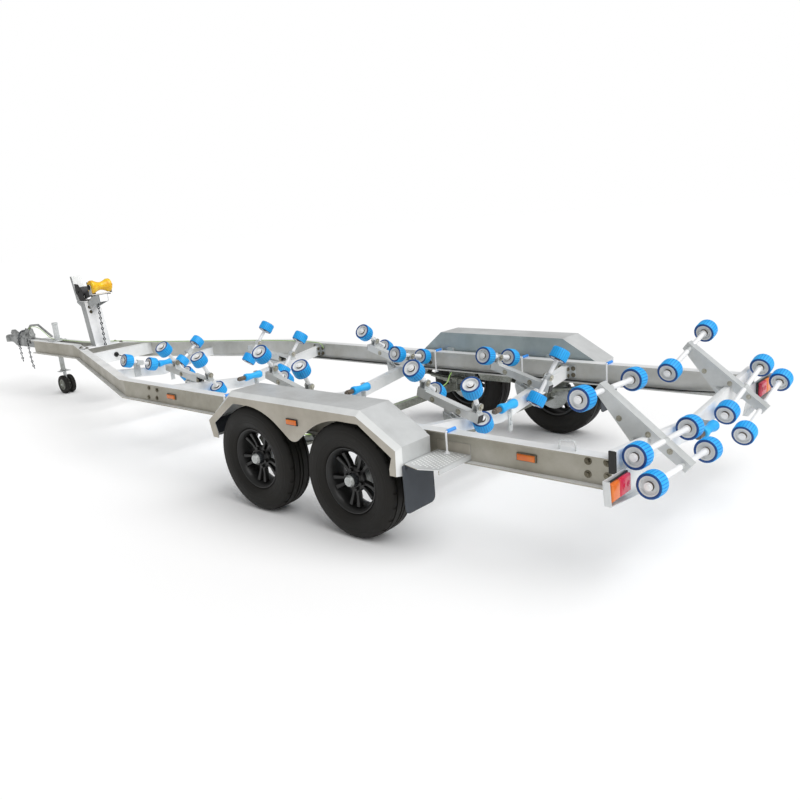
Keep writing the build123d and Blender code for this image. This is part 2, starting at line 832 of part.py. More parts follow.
with BuildPart() as winch_post:
    with Locations((along(post_base_x), 0, rail_top + post_foot / 2)):
        Box(150, 430, post_foot)
    with BuildSketch(Plane.XY.offset(post_bottom)):
        with Locations((along(post_base_x), 0)):
            Rectangle(post_depth, post_width)
            Rectangle(post_depth - 2 * post_wall, post_width - 2 * post_wall, mode=Mode.SUBTRACT)
    with BuildSketch(Plane.XY.offset(post_top_z)):
        with Locations((along(post_base_x + lean_shift), 0)):
            Rectangle(post_depth, post_width)
            Rectangle(post_depth - 2 * post_wall, post_width - 2 * post_wall, mode=Mode.SUBTRACT)
    loft(ruled=True)
    with Locations((along(post_base_x + lean_shift), 0, post_top_z + 4)):
        Box(post_depth + 20, post_width + 20, 8)
winch_x = post_base_x + lean_shift + 40
winch_base = post_top_z + 8
drum_x = winch_x + 30
drum_z = 1178.0
cheek_gap = 130.0
cheek_sheet = 5.0
drum_radius = 52.0
crank_y = -164.0             # handle's arm, outboard of the bow roller's bracket

with BuildPart() as winch_frame:
    for side in (1, -1):
        with BuildSketch(Plane.XZ.offset(-side * (cheek_gap / 2 + cheek_sheet / 2))):
            with BuildLine():
                Polyline(
                    (along(winch_x - 70), winch_base),
                    (along(winch_x - 60), 1180),
                    (along(winch_x + 20), 1255),
                    (along(winch_x + 95), 1260),
                    (along(winch_x + 90), 1170),
                    (along(winch_x + 20), winch_base),
                    close=True,
                )
            make_face()
        extrude(amount=cheek_sheet / 2, both=True)
    with Locations((along(winch_x - 25), 0, winch_base + 3)):
        Box(90, cheek_gap, 6)
    with Locations((along(drum_x), 0, drum_z)):
        Cylinder(8 + running_clearance, 200, rotation=(90, 0, 0), mode=Mode.SUBTRACT)
save(winch_frame.part, "winch_frame")

with BuildPart() as winch_drum:
    with BuildSketch(Plane.XY):
        with BuildLine():
            half = cheek_gap / 2 - 5
            Polyline(
                (0, crank_y - 4),
                (8, crank_y - 4),
                (8, -half),
                (drum_radius, -half),
                (drum_radius, -half + 4),
                (drum_radius - 10, -half + 5),
                (drum_radius - 10, half - 5),
                (drum_radius, half - 4),
                (drum_radius, half),
                (8, half),
                (8, cheek_gap / 2 + 14),
                (0, cheek_gap / 2 + 14),
                close=True,
            )
        make_face()
    revolve(axis=Axis.Y)
winch_drum_part = Location((along(drum_x), 0, drum_z)) * winch_drum.part
with BuildPart() as winch_crank:
    with Locations((along(drum_x), crank_y, drum_z + 95)):
        Box(24, 8, 230)
    with Locations((along(drum_x), crank_y - 58, drum_z + 195)):
        Cylinder(14, 110, rotation=(90, 0, 0))
    add(winch_drum_part)
save(winch_crank.part, "winch_drum")

bow_x = 4240.0
bow_z = 1232.0
bow_length = 270.0
bow_radius = 48.0
bow_waist = 30.0
chain_bar_x = 4345.0
chain_bar_z = 1139.0
with BuildPart() as bow_bracket:
    arm_y = bow_length / 2 + 6
    for side in (1, -1):
        with BuildSketch(Plane.XZ.offset(-side * (arm_y + 3))):
            with BuildLine():
                Polyline(
                    (along(bow_x - 22), bow_z - 18),
                    (along(bow_x - 22), bow_z + 20),
                    (along(bow_x + 22), bow_z + 20),
                    (along(post_base_x + lean_shift - 60), 1075),
                    (along(post_base_x + lean_shift - 60), 1020),
                    (along(bow_x + 20), bow_z - 60),
                    close=True,
                )
            make_face()
        extrude(amount=3, both=True)
    with Locations((along(post_base_x + lean_shift - 62), 0, 1047)):
        Box(12, 2 * arm_y + 12, 56)
    with Locations((along(bow_x), 0, bow_z)):
        Cylinder(rod_radius, 2 * arm_y + 24, rotation=(90, 0, 0))
    with Locations((along(chain_bar_x), 0, chain_bar_z)):
        Cylinder(8, 2 * arm_y, rotation=(90, 0, 0))
save(winch_post.part + bow_bracket.part, "winch_post")

with BuildPart() as bow_roller:
    with BuildSketch(Plane.XY):
        with BuildLine():
            half = bow_length / 2
            Polyline(
                (rod_radius + loose_clearance, -half), (bow_radius - 6, -half), (bow_radius, -half + 8),
                (bow_radius, -half + 58),
            )
            ThreePointArc((bow_radius, -half + 58), (bow_waist, 0), (bow_radius, half - 58))
            Polyline(
                (bow_radius, half - 58), (bow_radius, half - 8), (bow_radius - 6, half),
                (rod_radius + loose_clearance, half), (rod_radius + loose_clearance, -half),
            )
        make_face()
    revolve(axis=Axis.Y)
save(Location((along(bow_x), 0, bow_z)) * bow_roller.part, "bow_roller")


# ---------------------------------------------------------------- chains
chain_radius = 7.0
hanging_chains = (
    # name, start x, side, top of the chain, height where it leaves the vertical, its end x and z
    ("safety", 6440.0, 28.0, drawbar_bottom, 380.0, 6424.0, 300.0),
    ("safety", 6330.0, -28.0, drawbar_bottom, 330.0, 6275.0, 210.0),
    ("winch", chain_bar_x, 0.0, chain_bar_z - 8, 800.0, 4335.0, 612.0),
)
tubes = {"safety": [], "winch": []}
for name, x, y, top, turn, end_x, end_z in hanging_chains:
    with BuildPart() as tube:
        with BuildLine() as path:
            Line((along(x), y, top), (along(x), y, turn))
            TangentArc((along(x), y, turn), (along(end_x), y, end_z), tangent=(0, 0, -1))
        with BuildSketch(Plane((along(x), y, top), x_dir=(1, 0, 0), z_dir=(0, 0, -1))):
            Circle(chain_radius)
        sweep()
    tubes[name].append(tube.part)
save(Compound(children=tubes["safety"]), "safety_chains")
save(Compound(children=tubes["winch"]), "winch_chain")


# ---------------------------------------------------------------- jockey wheel
jockey_x = 5440.0
jockey_radius = 105.0
jockey_width = 62.0
jockey_trail = 30.0
sleeve_radius = 30.0
sleeve_wall = 4.0
leg_radius = 25.7
sleeve_top = 800.0
sleeve_low = 440.0
leg_top = 625.0
leg_low = 265.0
fork_gap = jockey_width + 12
fork_sheet = 5.0

with BuildPart() as jockey_tube:
    with Locations((along(jockey_x), 0, (sleeve_top + sleeve_low) / 2)):
        Cylinder(sleeve_radius, sleeve_top - sleeve_low)
        Cylinder(sleeve_radius - sleeve_wall, sleeve_top - sleeve_low, mode=Mode.SUBTRACT)
    with Locations((along(jockey_x), 0, sleeve_top + 6)):
        Cylinder(sleeve_radius + 3, 12)
    with Locations((along(jockey_x), 0, sleeve_top + 24)):
        Cylinder(9, 26)
    with Locations((along(jockey_x), 50, sleeve_top + 36)):
        Box(22, 124, 6)
    with Locations((along(jockey_x), 104, sleeve_top + 66)):
        Cylinder(12, 60)
    with Locations((along(jockey_x), 0, rail_top + 4)):
        Box(130, 160, 8)
        Cylinder(sleeve_radius - sleeve_wall, 8, mode=Mode.SUBTRACT)
save(jockey_tube.part, "jockey_tube")

with BuildPart() as jockey_leg:
    with Locations((along(jockey_x), 0, (leg_top + leg_low) / 2)):
        Cylinder(leg_radius, leg_top - leg_low)
    with Locations((along(jockey_x), 0, leg_low + 4)):
        Cylinder(leg_radius + 10, 8)
    with Locations((along(jockey_x), 0, leg_low)):
        Cylinder(8 + running_clearance, 120, mode=Mode.SUBTRACT)
save(jockey_leg.part, "jockey_leg")

with BuildPart() as jockey_fork:
    crown = leg_low - 6
    with Locations((along(jockey_x - jockey_trail / 2), 0, crown - 4)):
        Box(80, fork_gap + 2 * fork_sheet, 8)
    with Locations((along(jockey_x), 0, crown + 22)):
        Cylinder(8, 50)
    for side in (1, -1):
        with BuildSketch(Plane.XZ.offset(-side * (fork_gap / 2 + fork_sheet / 2))):
            with BuildLine():
                Polyline(
                    (along(jockey_x - jockey_trail / 2 - 40), crown),
                    (along(jockey_x - jockey_trail / 2 + 40), crown),
                    (along(jockey_x - jockey_trail + 20), jockey_radius - 10),
                    (along(jockey_x - jockey_trail - 20), jockey_radius - 10),
                    close=True,
                )
            make_face()
        extrude(amount=fork_sheet / 2, both=True)
    with Locations((along(jockey_x - jockey_trail), 0, jockey_radius)):
        Cylinder(8, fork_gap + 2 * fork_sheet + 16, rotation=(90, 0, 0))
save(jockey_fork.part, "jockey_fork")

with BuildPart() as jockey_wheel:
    with BuildSketch(Plane.XY):
        with BuildLine():
            half = jockey_width / 2
            Polyline(
                (8 + running_clearance, -half), (30, -half), (34, -half + 12), (70, -half + 12),
                (74, -half + 2), (jockey_radius - 12, -half),
            )
            ThreePointArc((jockey_radius - 12, -half), (jockey_radius, 0), (jockey_radius - 12, half))
            Polyline(
                (jockey_radius - 12, half), (74, half - 2), (70, half - 12), (34, half - 12),
                (30, half), (8 + running_clearance, half), (8 + running_clearance, -half),
            )
        make_face()
    revolve(axis=Axis.Y)
save(Location((along(jockey_x - jockey_trail), 0, jockey_radius)) * jockey_wheel.part, "jockey_wheel")


# ---------------------------------------------------------------- axles and springs
spring_y = rail_y
spring_width = 60.0
spring_leaf = 7.0
spring_leaves = (
    # half length, height of the leaf's middle over the axle beam
    (300.0, 4), (235.0, 3), (170.0, 2), (110.0, 1), (60.0, 0),
)
spring_camber = 34.0
eye_radius = 16.0
brake_y = 985.0
disc_radius = 128.0
disc_sheet = 12.0
hub_radius = 40.0
hub_face = 1100.0
cap_radius = 34.0
cap_end = 1173.0
axle_reach = 968.0
stub_end = 1130.0

with BuildPart() as axle_beams:
    for end in (-1, 1):
        x = along(end * axle_spacing / 2)
        with Locations((x, 0, tyre_radius)):
            Box(axle_beam, 2 * axle_reach, axle_beam)
            Cylinder(stub_radius, 2 * stub_end, rotation=(90, 0, 0))
save(axle_beams.part, "axle_beams")


def leaf(x, side, half_length, level):
    """One curved leaf, its middle on the pack and its ends raised."""
    low = tyre_radius + axle_beam / 2 + level * spring_leaf
    rise = spring_camber * (half_length / spring_leaves[0][0]) ** 2
    with BuildPart() as blade:
        with BuildSketch(Plane.XZ.offset(-side * spring_y)):
            with BuildLine():
                ThreePointArc(
                    (along(x - half_length), low + rise), (along(x), low), (along(x + half_length), low + rise)
                )
                Line((along(x + half_length), low + rise), (along(x + half_length), low + rise + spring_leaf))
                ThreePointArc(
                    (along(x + half_length), low + rise + spring_leaf),
                    (along(x), low + spring_leaf),
                    (along(x - half_length), low + rise + spring_leaf),
                )
                Line((along(x - half_length), low + rise + spring_leaf), (along(x - half_length), low + rise))
            make_face()
        extrude(amount=spring_width / 2, both=True)
    return blade.part


eye_z = tyre_radius + axle_beam / 2 + 4 * spring_leaf + spring_camber + eye_radius - 4
eye_pin = 8.0
eye_places = [(end * axle_spacing / 2 + tip * 296, end, tip) for end in (-1, 1) for tip in (-1, 1)]

with BuildPart() as leaf_springs:
    for side in (1, -1):
        for end in (-1, 1):
            for half_length, level in spring_leaves:
                add(leaf(end * axle_spacing / 2, side, half_length, level))
        for x, _, _ in eye_places:
            with Locations((along(x), side * spring_y, eye_z)):
                Cylinder(eye_radius, spring_width, rotation=(90, 0, 0))
                Cylinder(eye_pin, spring_width, rotation=(90, 0, 0), mode=Mode.SUBTRACT)
save(leaf_springs.part, "leaf_springs")

# hangers seen from the side: the middle one carries the inner eye of both springs
hanger_views = (
    ((-740, rail_bottom), (-660, rail_bottom), (-688, eye_z - 20), (-720, eye_z - 20)),
    ((-160, rail_bottom), (160, rail_bottom), (130, eye_z - 22), (-130, eye_z - 22)),
    ((660, rail_bottom), (740, rail_bottom), (720, eye_z - 20), (688, eye_z - 20)),
)
clamp_top = tyre_radius + axle_beam / 2 + 5 * spring_leaf + 1.0
clamp_low = tyre_radius - axle_beam / 2 - 10

with BuildPart() as spring_hangers:
    for side in (1, -1):
        for face in (-1, 1):
            y = side * spring_y + face * (spring_width / 2 + 4)
            for view in hanger_views:
                with BuildSketch(Plane.XZ.offset(-y)):
                    with BuildLine():
                        Polyline(*[(along(x), z) for x, z in view], close=True)
                    make_face()
                extrude(amount=3, both=True)
        for x, _, _ in eye_places:
            with Locations((along(x), side * spring_y, eye_z)):
                Cylinder(eye_pin, spring_width + 24, rotation=(90, 0, 0))
        for end in (-1, 1):
            x = end * axle_spacing / 2
            with Locations((along(x), side * spring_y, clamp_low + 5)):
                Box(90, 100, 10)
            with Locations((along(x), side * spring_y, clamp_top + 5)):
                Box(84, 92, 10)
            for bolt_x in (-32, 32):
                for bolt_y in (-37, 37):
                    with Locations((along(x) + bolt_x, side * spring_y + bolt_y, (clamp_low + clamp_top + 10) / 2)):
                        Cylinder(5, clamp_top + 20 - clamp_low)
save(spring_hangers.part, "spring_hangers")

with BuildPart() as brake_calipers:
    for side in (1, -1):
        for end in (-1, 1):
            x = end * axle_spacing / 2
            angle = radians(90 - end * 40)
            cx = along(x) + (disc_radius - 22) * cos(angle)
            cz = tyre_radius + (disc_radius - 22) * sin(angle)
            with Locations(Location((cx, side * brake_y, cz), (0, 90 - degrees(angle), 0))):
                Box(96, 74, 64)
                Box(120, disc_sheet + 12, 90, mode=Mode.SUBTRACT)
                with Locations((0, 0, 36)):
                    Box(96, 74, 8)
            with Locations((along(x), side * (axle_reach - 12), tyre_radius + axle_beam / 2 + 37)):
                Box(70, 10, 74)
save(brake_calipers.part, "brake_calipers")


# ---------------------------------------------------------------- road wheels
with BuildPart() as tyre:
    with BuildSketch(Plane.XY):
        with BuildLine():
            half = tyre_width / 2
            Polyline(
                (bead_radius + 4, -rim_width / 2 + 9.3), (rim_radius + 6, -rim_width / 2 + 5),
                (rim_radius + 12, -half + 12),
            )
            ThreePointArc((rim_radius + 12, -half + 12), (265, -half), (tyre_radius - 18, -half + 14))
            Line((tyre_radius - 18, -half + 14), (tyre_radius - 3, -half + 30))
            ThreePointArc((tyre_radius - 3, -half + 30), (tyre_radius, 0), (tyre_radius - 3, half - 30))
            Line((tyre_radius - 3, half - 30), (tyre_radius - 18, half - 14))
            ThreePointArc((tyre_radius - 18, half - 14), (265, half), (rim_radius + 12, half - 12))
            Polyline(
                (rim_radius + 12, half - 12), (rim_radius + 6, rim_width / 2 - 5),
                (bead_radius + 4, rim_width / 2 - 9.3), (bead_radius + 4, rim_width / 2 - 20),
                (bead_radius + 14, rim_width / 2 - 24), (tyre_radius - 14, half - 30),
                (tyre_radius - 12, 0), (tyre_radius - 14, -half + 30),
                (bead_radius + 14, -rim_width / 2 + 24), (bead_radius + 4, -rim_width / 2 + 20),
                (bead_radius + 4, -rim_width / 2 + 9.3),
            )
        make_face()
    revolve(axis=Axis.Y)

spoke_count = 6
disc_face = 30.0             # spokes' outer face, outboard of the wheel's middle
with BuildPart() as rim:
    with BuildSketch(Plane.XY):
        with BuildLine():
            half = rim_width / 2
            Polyline(
                (rim_radius, -half), (rim_radius, -half + 5), (bead_radius + 4, -half + 9),
                (bead_radius + 4, -half + 26), (rim_drop_radius, -half + 44), (rim_drop_radius, half - 44),
                (bead_radius + 4, half - 26), (bead_radius + 4, half - 9), (rim_radius, half - 5),
                (rim_radius, half), (bead_radius - 2, half), (rim_drop_radius - 6, half - 40),
                (rim_drop_radius - 6, -half + 40), (bead_radius - 2, -half),
                close=True,
            )
        make_face()
    revolve(axis=Axis.Y)
    with Locations((0, disc_face, 0)):
        Cylinder(rim_drop_radius - 3, 26, rotation=(90, 0, 0))
        Cylinder(62, 44, rotation=(90, 0, 0))
    with BuildSketch(Plane.XZ.offset(-disc_face - 40)):
        with PolarLocations(0, spoke_count):
            with BuildLine():
                Polyline((74, -14), (150, -52), (152, 52), (74, 14), close=True)
            make_face()
    extrude(amount=80, mode=Mode.SUBTRACT)
    with Locations((0, disc_face, 0)):
        Cylinder(hub_radius + loose_clearance, 60, rotation=(90, 0, 0), mode=Mode.SUBTRACT)

with BuildPart() as hub:
    with BuildSketch(Plane.XY):
        with BuildLine():
            Polyline(
                (stub_radius + running_clearance, axle_reach + 6 - track_half),
                (hub_radius + 14, axle_reach + 6 - track_half),
                (hub_radius + 14, brake_y - disc_sheet / 2 - track_half),
                (disc_radius, brake_y - disc_sheet / 2 - track_half),
                (disc_radius, brake_y + disc_sheet / 2 - track_half),
                (hub_radius + 20, brake_y + disc_sheet / 2 - track_half),
                (hub_radius + 20, disc_face - 24),
                (62, disc_face - 24),
                (62, disc_face - 22),
                (hub_radius, disc_face - 22),
                (hub_radius, hub_face - track_half),
                (cap_radius, hub_face - track_half),
                (cap_radius, cap_end - 14 - track_half),
                (cap_radius - 8, cap_end - track_half),
                (0, cap_end - track_half),
                (0, stub_end + 4 - track_half),
                (stub_radius + running_clearance, stub_end + 4 - track_half),
                close=True,
            )
        make_face()
    revolve(axis=Axis.Y)

wheel_places = (
    # name, end of the trailer, side
    ("front_left", 1, 1), ("front_right", 1, -1), ("rear_left", -1, 1), ("rear_right", -1, -1),
)
for name, end, side in wheel_places:
    place = Location((along(end * axle_spacing / 2), side * track_half, tyre_radius), (0, 0, 0 if side > 0 else 180))
    save(place * tyre.part, f"tyre_{name}")
    save(place * rim.part, f"rim_{name}")
    save(place * hub.part, f"hub_{name}")
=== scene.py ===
# %% [markdown]
# # A boat trailer
# A long trailer of aluminium beams carries a hull on rows of soft rollers. The frame comes from the
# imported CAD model, where every beam, axle and bracket already has its true place and size. This
# lesson gives those beams their finish and models what the CAD leaves plain: ribbed rollers, tyre
# tread, alloy wheels, lamps, chains, the winch and the small fixings.

import json
from math import atan2, cos, degrees, hypot, pi, radians, sin, tan

import bpy
from mathutils import Matrix, Vector


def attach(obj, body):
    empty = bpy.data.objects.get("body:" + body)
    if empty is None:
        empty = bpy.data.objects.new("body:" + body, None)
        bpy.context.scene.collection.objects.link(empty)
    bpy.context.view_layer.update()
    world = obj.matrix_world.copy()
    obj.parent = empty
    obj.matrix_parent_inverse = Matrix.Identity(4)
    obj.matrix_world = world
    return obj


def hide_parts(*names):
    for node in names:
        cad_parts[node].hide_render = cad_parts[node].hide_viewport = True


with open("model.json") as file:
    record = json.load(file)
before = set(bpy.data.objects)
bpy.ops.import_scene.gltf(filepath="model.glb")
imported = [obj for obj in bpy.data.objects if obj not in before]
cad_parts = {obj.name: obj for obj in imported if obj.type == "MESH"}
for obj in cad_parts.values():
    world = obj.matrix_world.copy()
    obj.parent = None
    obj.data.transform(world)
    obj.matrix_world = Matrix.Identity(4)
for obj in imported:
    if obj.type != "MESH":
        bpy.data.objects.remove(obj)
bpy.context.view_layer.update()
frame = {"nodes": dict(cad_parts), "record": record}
MM = 0.001

# %% [markdown]
# Places along the trailer are easiest to say from the point midway between the two axles, because
# that is how a trailer is measured. The frame's own origin is under the middle of the whole thing.

# %% Where the axle midpoint is
AXLE_MID = (2072.0 - 6800.0) / 2


def at(x, y, z):
    """A point in the frame, from millimetres ahead of the axle midpoint, left, and up."""
    return Vector(((AXLE_MID + x) * MM, y * MM, z * MM))


def mm_point(x, y, z):
    return Vector((x * MM, y * MM, z * MM))


def shift(x, y, z):
    """The matrix that moves a piece to this place, in millimetres as for at()."""
    return Matrix.Translation(at(x, y, z))


# %% [markdown]
# ## Camera
# The trailer is seen from behind its left rear corner, standing, with the lens a little tilted. The
# camera's own axes are worked out from a heading, a downward pitch and a small roll.

# %% Camera
HEADING = radians(-47.392)
PITCH = radians(14.023)
ROLL = radians(-4.971)
LENS_MM = 34.8

ahead = Vector((cos(HEADING) * cos(PITCH), sin(HEADING) * cos(PITCH), -sin(PITCH)))
level = Vector((sin(HEADING), -cos(HEADING), 0))
above = level.cross(ahead)
right = cos(ROLL) * level + sin(ROLL) * above
up = cos(ROLL) * above - sin(ROLL) * level
camera_data = bpy.data.cameras.new("camera")
camera_data.lens = LENS_MM
camera_data.sensor_width = 36.0
camera_data.sensor_fit = "HORIZONTAL"
camera_data.clip_end = 200
camera = bpy.data.objects.new("camera", camera_data)
bpy.context.scene.collection.objects.link(camera)
turn = Matrix((right, up, -ahead)).transposed().to_4x4()
camera.matrix_world = shift(-3340.8, 3886.8, 1761.0) @ turn
bpy.context.scene.camera = camera
print("camera at", [round(v, 3) for v in camera.location])

# %% [markdown]
# ## Working by hand, in code
# Every new piece starts as a primitive or a drawn outline and is shaped with the same operators a
# modeller would press keys for. These helpers keep that short: they clear the selection, draw a
# chain of points, close it into a plate, or spin it into a round part.

# %% Modelling helpers
def pick_nothing():
    if bpy.context.object and bpy.context.object.mode != "OBJECT":
        bpy.ops.object.mode_set(mode="OBJECT")
    bpy.ops.object.select_all(action="DESELECT")


def pick(*pieces):
    pick_nothing()
    for piece in pieces:
        piece.select_set(True)
    bpy.context.view_layer.objects.active = pieces[0]


def draw(points, closed=False):
    """A chain of edges, drawn point by point. Leaves the piece in edit mode, all selected."""
    pick_nothing()
    bpy.ops.mesh.primitive_plane_add(size=0.01)
    piece = bpy.context.object
    bpy.ops.object.mode_set(mode="EDIT")
    bpy.ops.mesh.select_mode(type="VERT")
    bpy.ops.mesh.select_all(action="SELECT")
    bpy.ops.mesh.merge(type="CENTER")
    bpy.ops.transform.translate(value=points[0])
    for before, after in zip(points, points[1:]):
        bpy.ops.mesh.extrude_region_move(TRANSFORM_OT_translate={"value": Vector(after) - Vector(before)})
    bpy.ops.mesh.select_all(action="SELECT")
    if closed:
        bpy.ops.mesh.edge_face_add()
    return piece


def tidy_normals(merge=1e-6):
    bpy.ops.mesh.select_all(action="SELECT")
    bpy.ops.mesh.remove_doubles(threshold=merge)
    bpy.ops.mesh.normals_make_consistent(inside=False)
    bpy.ops.object.mode_set(mode="OBJECT")


def plate(points, thickness):
    """A flat plate with this outline, pushed out by the thickness vector."""
    piece = draw(points, closed=True)
    bpy.ops.mesh.extrude_region_move(TRANSFORM_OT_translate={"value": thickness})
    tidy_normals()
    return piece


def thick(points, y, width):
    """A plate drawn in side view, as (along, up) points, and pushed out both ways from y."""
    return plate([at(x, y - width / 2, z) for x, z in points], Vector((0, width * MM, 0)))


def both_ways(rows):
    """A round part's profile from the half at negative y: the other half is the same, mirrored."""
    return list(rows) + [(r, -y) for r, y in reversed(rows)]


def turned(profile, steps):
    """A round part about the Y axis. Profile rows are (radius, y) in millimetres, as a closed loop."""
    points = [mm_point(r, y, 0) for r, y in profile]
    piece = draw(points + [points[0]])
    bpy.ops.mesh.spin(steps=steps, angle=2 * pi, center=(0, 0, 0), axis=(0, 1, 0))
    tidy_normals()
    return piece


def block(size, centre):
    """A box of this size, in millimetres, for shaping further."""
    pick_nothing()
    bpy.ops.mesh.primitive_cube_add(size=1, location=(0, 0, 0))
    piece = bpy.context.object
    piece.scale = Vector(size) * MM
    bpy.ops.object.transform_apply(location=False, rotation=False, scale=True)
    piece.location = centre
    bpy.ops.object.transform_apply(location=True, rotation=False, scale=False)
    return piece


def select_faces(piece, test):
    """Select the faces whose centre and normal pass the test, ready for edit mode."""
    if bpy.context.object.mode != "OBJECT":
        bpy.ops.object.mode_set(mode="OBJECT")
    pick(piece)
    for vertex in piece.data.vertices:
        vertex.select = False
    for edge in piece.data.edges:
        edge.select = False
    for face in piece.data.polygons:
        face.select = bool(test(face.center, face.normal))
    bpy.ops.object.mode_set(mode="EDIT")
    bpy.ops.mesh.select_mode(type="FACE")


def raise_faces(piece, test, inset, lift):
    """Draw in the faces that pass the test and move them, both in millimetres."""
    select_faces(piece, test)
    bpy.ops.mesh.inset(thickness=inset * MM)
    bpy.ops.transform.translate(value=Vector(lift) * MM)
    bpy.ops.object.mode_set(mode="OBJECT")


def sink_faces(piece, test, scale):
    """Push the faces of a round part that pass the test in towards its axis."""
    select_faces(piece, test)
    bpy.ops.mesh.extrude_region_move(TRANSFORM_OT_translate={"value": (0, 0, 0)})
    bpy.ops.transform.resize(value=(scale, 1, scale), center_override=(0, 0, 0))
    bpy.ops.object.mode_set(mode="OBJECT")


def soften(piece, width, segments=2, angle=30):
    """Round the sharp edges a little, as real ones are."""
    pick(piece)
    edge = piece.modifiers.new("soft edges", "BEVEL")
    edge.width = width * MM
    edge.segments = segments
    edge.limit_method = "ANGLE"
    edge.angle_limit = radians(angle)
    bpy.ops.object.modifier_apply(modifier=edge.name)
    return piece


def smooth(piece, angle=35):
    pick(piece)
    bpy.ops.object.shade_smooth_by_angle(angle=radians(angle))
    return piece


def placed(piece, matrix):
    """The piece, moved to where this matrix puts it."""
    piece.matrix_world = matrix
    return piece


def copies(piece, places, keep=False):
    """Copies of a piece at these matrices, each with its own mesh; it goes itself unless it is kept."""
    made = []
    for place in places:
        twin = piece.copy()
        twin.data = piece.data.copy()
        bpy.context.scene.collection.objects.link(twin)
        twin.matrix_world = place @ piece.matrix_world
        made.append(twin)
    if not keep:
        bpy.data.objects.remove(piece, do_unlink=True)
    return made


def joined(pieces):
    """One mesh of several pieces, its place in the mesh and the object at the origin."""
    pick(*pieces)
    bpy.ops.object.transform_apply(location=True, rotation=True, scale=True)
    if len(pieces) > 1:
        bpy.ops.object.join()
    return bpy.context.object


def finish(piece, name, body, materials=(), replaced=()):
    """Name a piece, dress it, and let it ride on its body."""
    pick(piece)
    bpy.ops.object.transform_apply(location=True, rotation=True, scale=True)
    piece.name = name
    piece.data.name = name
    if materials:
        dress(piece, *materials)
    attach(piece, body)
    if replaced:
        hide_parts(*replaced)
    print(name, "faces", len(piece.data.polygons))
    return piece


def dress(piece, *materials, test=None):
    """Give a piece its materials; the test turns a face's centre and normal into a material number."""
    piece.data.materials.clear()
    for material in materials:
        piece.data.materials.append(material)
    for face in piece.data.polygons:
        face.material_index = test(face.center, face.normal) if test else 0
    return piece


def rod(start, end, radius, steps=12):
    """A round bar between two points, its ends a little chamfered."""
    pick_nothing()
    start, end = Vector(start), Vector(end)
    run = end - start
    bpy.ops.mesh.primitive_cylinder_add(vertices=steps, radius=radius * MM, depth=run.length)
    bar = bpy.context.object
    soften(bar, radius * 0.15, 1, 60)
    bar.matrix_world = facing((start + end) / 2, run)
    return smooth(bar, 40)


def smooth_curve(points, name, steps):
    """A curve drawn towards these control points, linked into the scene."""
    line = bpy.data.curves.new(name, "CURVE")
    line.dimensions = "3D"
    spline = line.splines.new("NURBS")
    spline.points.add(len(points) - 1)
    for point, place in zip(spline.points, points):
        point.co = (*place, 1)
    spline.order_u = 3
    spline.use_endpoint_u = True
    spline.resolution_u = steps
    holder = bpy.data.objects.new(name, line)
    bpy.context.scene.collection.objects.link(holder)
    return holder


def bent(points, radius):
    """A round bar or pipe along a smooth line through these (along, left, up) points."""
    pipe = smooth_curve([at(*point) for point in points], "line", 6)
    pipe.data.bevel_depth = radius * MM
    pipe.data.bevel_resolution = 3
    pipe.data.use_fill_caps = True
    pick(pipe)
    bpy.ops.object.convert(target="MESH")
    return smooth(bpy.context.object, 50)


def bolt(across, height, washer=True):
    """A hexagon head on its washer, standing up along Z from the surface."""
    pick_nothing()
    bpy.ops.mesh.primitive_cylinder_add(vertices=6, radius=across / 1.73 * MM, depth=height * MM)
    head = bpy.context.object
    head.location.z = (height / 2 + 2) * MM
    soften(head, 1.0, 1, 50)
    if washer:
        bpy.ops.mesh.primitive_cylinder_add(vertices=20, radius=across * 0.98 * MM, depth=2.4 * MM)
        disc = bpy.context.object
        disc.location.z = 1.2 * MM
        return joined([head, disc])
    return joined([head])


def facing(place, direction):
    """The matrix that stands a piece at a place with its Z along the direction."""
    return Matrix.Translation(place) @ Vector(direction).to_track_quat("Z", "Y").to_matrix().to_4x4()


def bolt_on(place, direction, across, height, washer=True):
    """A bolt that stands out of a surface at this place."""
    return placed(bolt(across, height, washer), facing(place, direction))


UP = (0, 0, 1)
# turns a round part from the Y axis up to the Z axis
UPRIGHT = Matrix.Rotation(pi / 2, 4, "X")

# %% [markdown]
# ## Finishes
# Each finish starts from what the real one is. Colours are written as the hex values a paint chart
# would give, and one function turns them into the linear light that the renderer works in. One more
# function adds a node with its settings and links, so that a material reads like a recipe.

# %% Material helpers
def colour(code):
    parts = [int(code[i:i + 2], 16) / 255 for i in (1, 3, 5)]
    linear = [c / 12.92 if c <= 0.04045 else ((c + 0.055) / 1.055) ** 2.4 for c in parts]
    return (*linear, 1)


def add_node(tree, kind, settings=None, **links):
    """A node with its settings; links name an input and the socket or value that feeds it."""
    node = tree.nodes.new(kind)
    for key, value in (settings or {}).items():
        setattr(node, key, value)
    for key, value in links.items():
        socket = node.inputs[int(key[1:]) if key[0] == "_" else key.replace("_", " ")]
        if isinstance(value, bpy.types.NodeSocket):
            tree.links.new(value, socket)
        else:
            socket.default_value = value
    return node


def new_finish(name):
    """An empty material with its shader, its output and the object's own coordinates."""
    material = bpy.data.materials.new(name)
    material.use_nodes = True
    tree = material.node_tree
    shader = tree.nodes["Principled BSDF"]
    place = add_node(tree, "ShaderNodeTexCoord").outputs["Object"]
    return material, tree, shader, place


def ramp(tree, factor, stops):
    """Colours between the low and high end of a pattern; stops are (position, colour)."""
    node = add_node(tree, "ShaderNodeValToRGB", None, Fac=factor)
    elements = node.color_ramp.elements
    while len(elements) < len(stops):
        elements.new(0.5)
    for element, (position, shade) in zip(elements, stops):
        element.position = position
        element.color = colour(shade)
    return node.outputs["Color"]


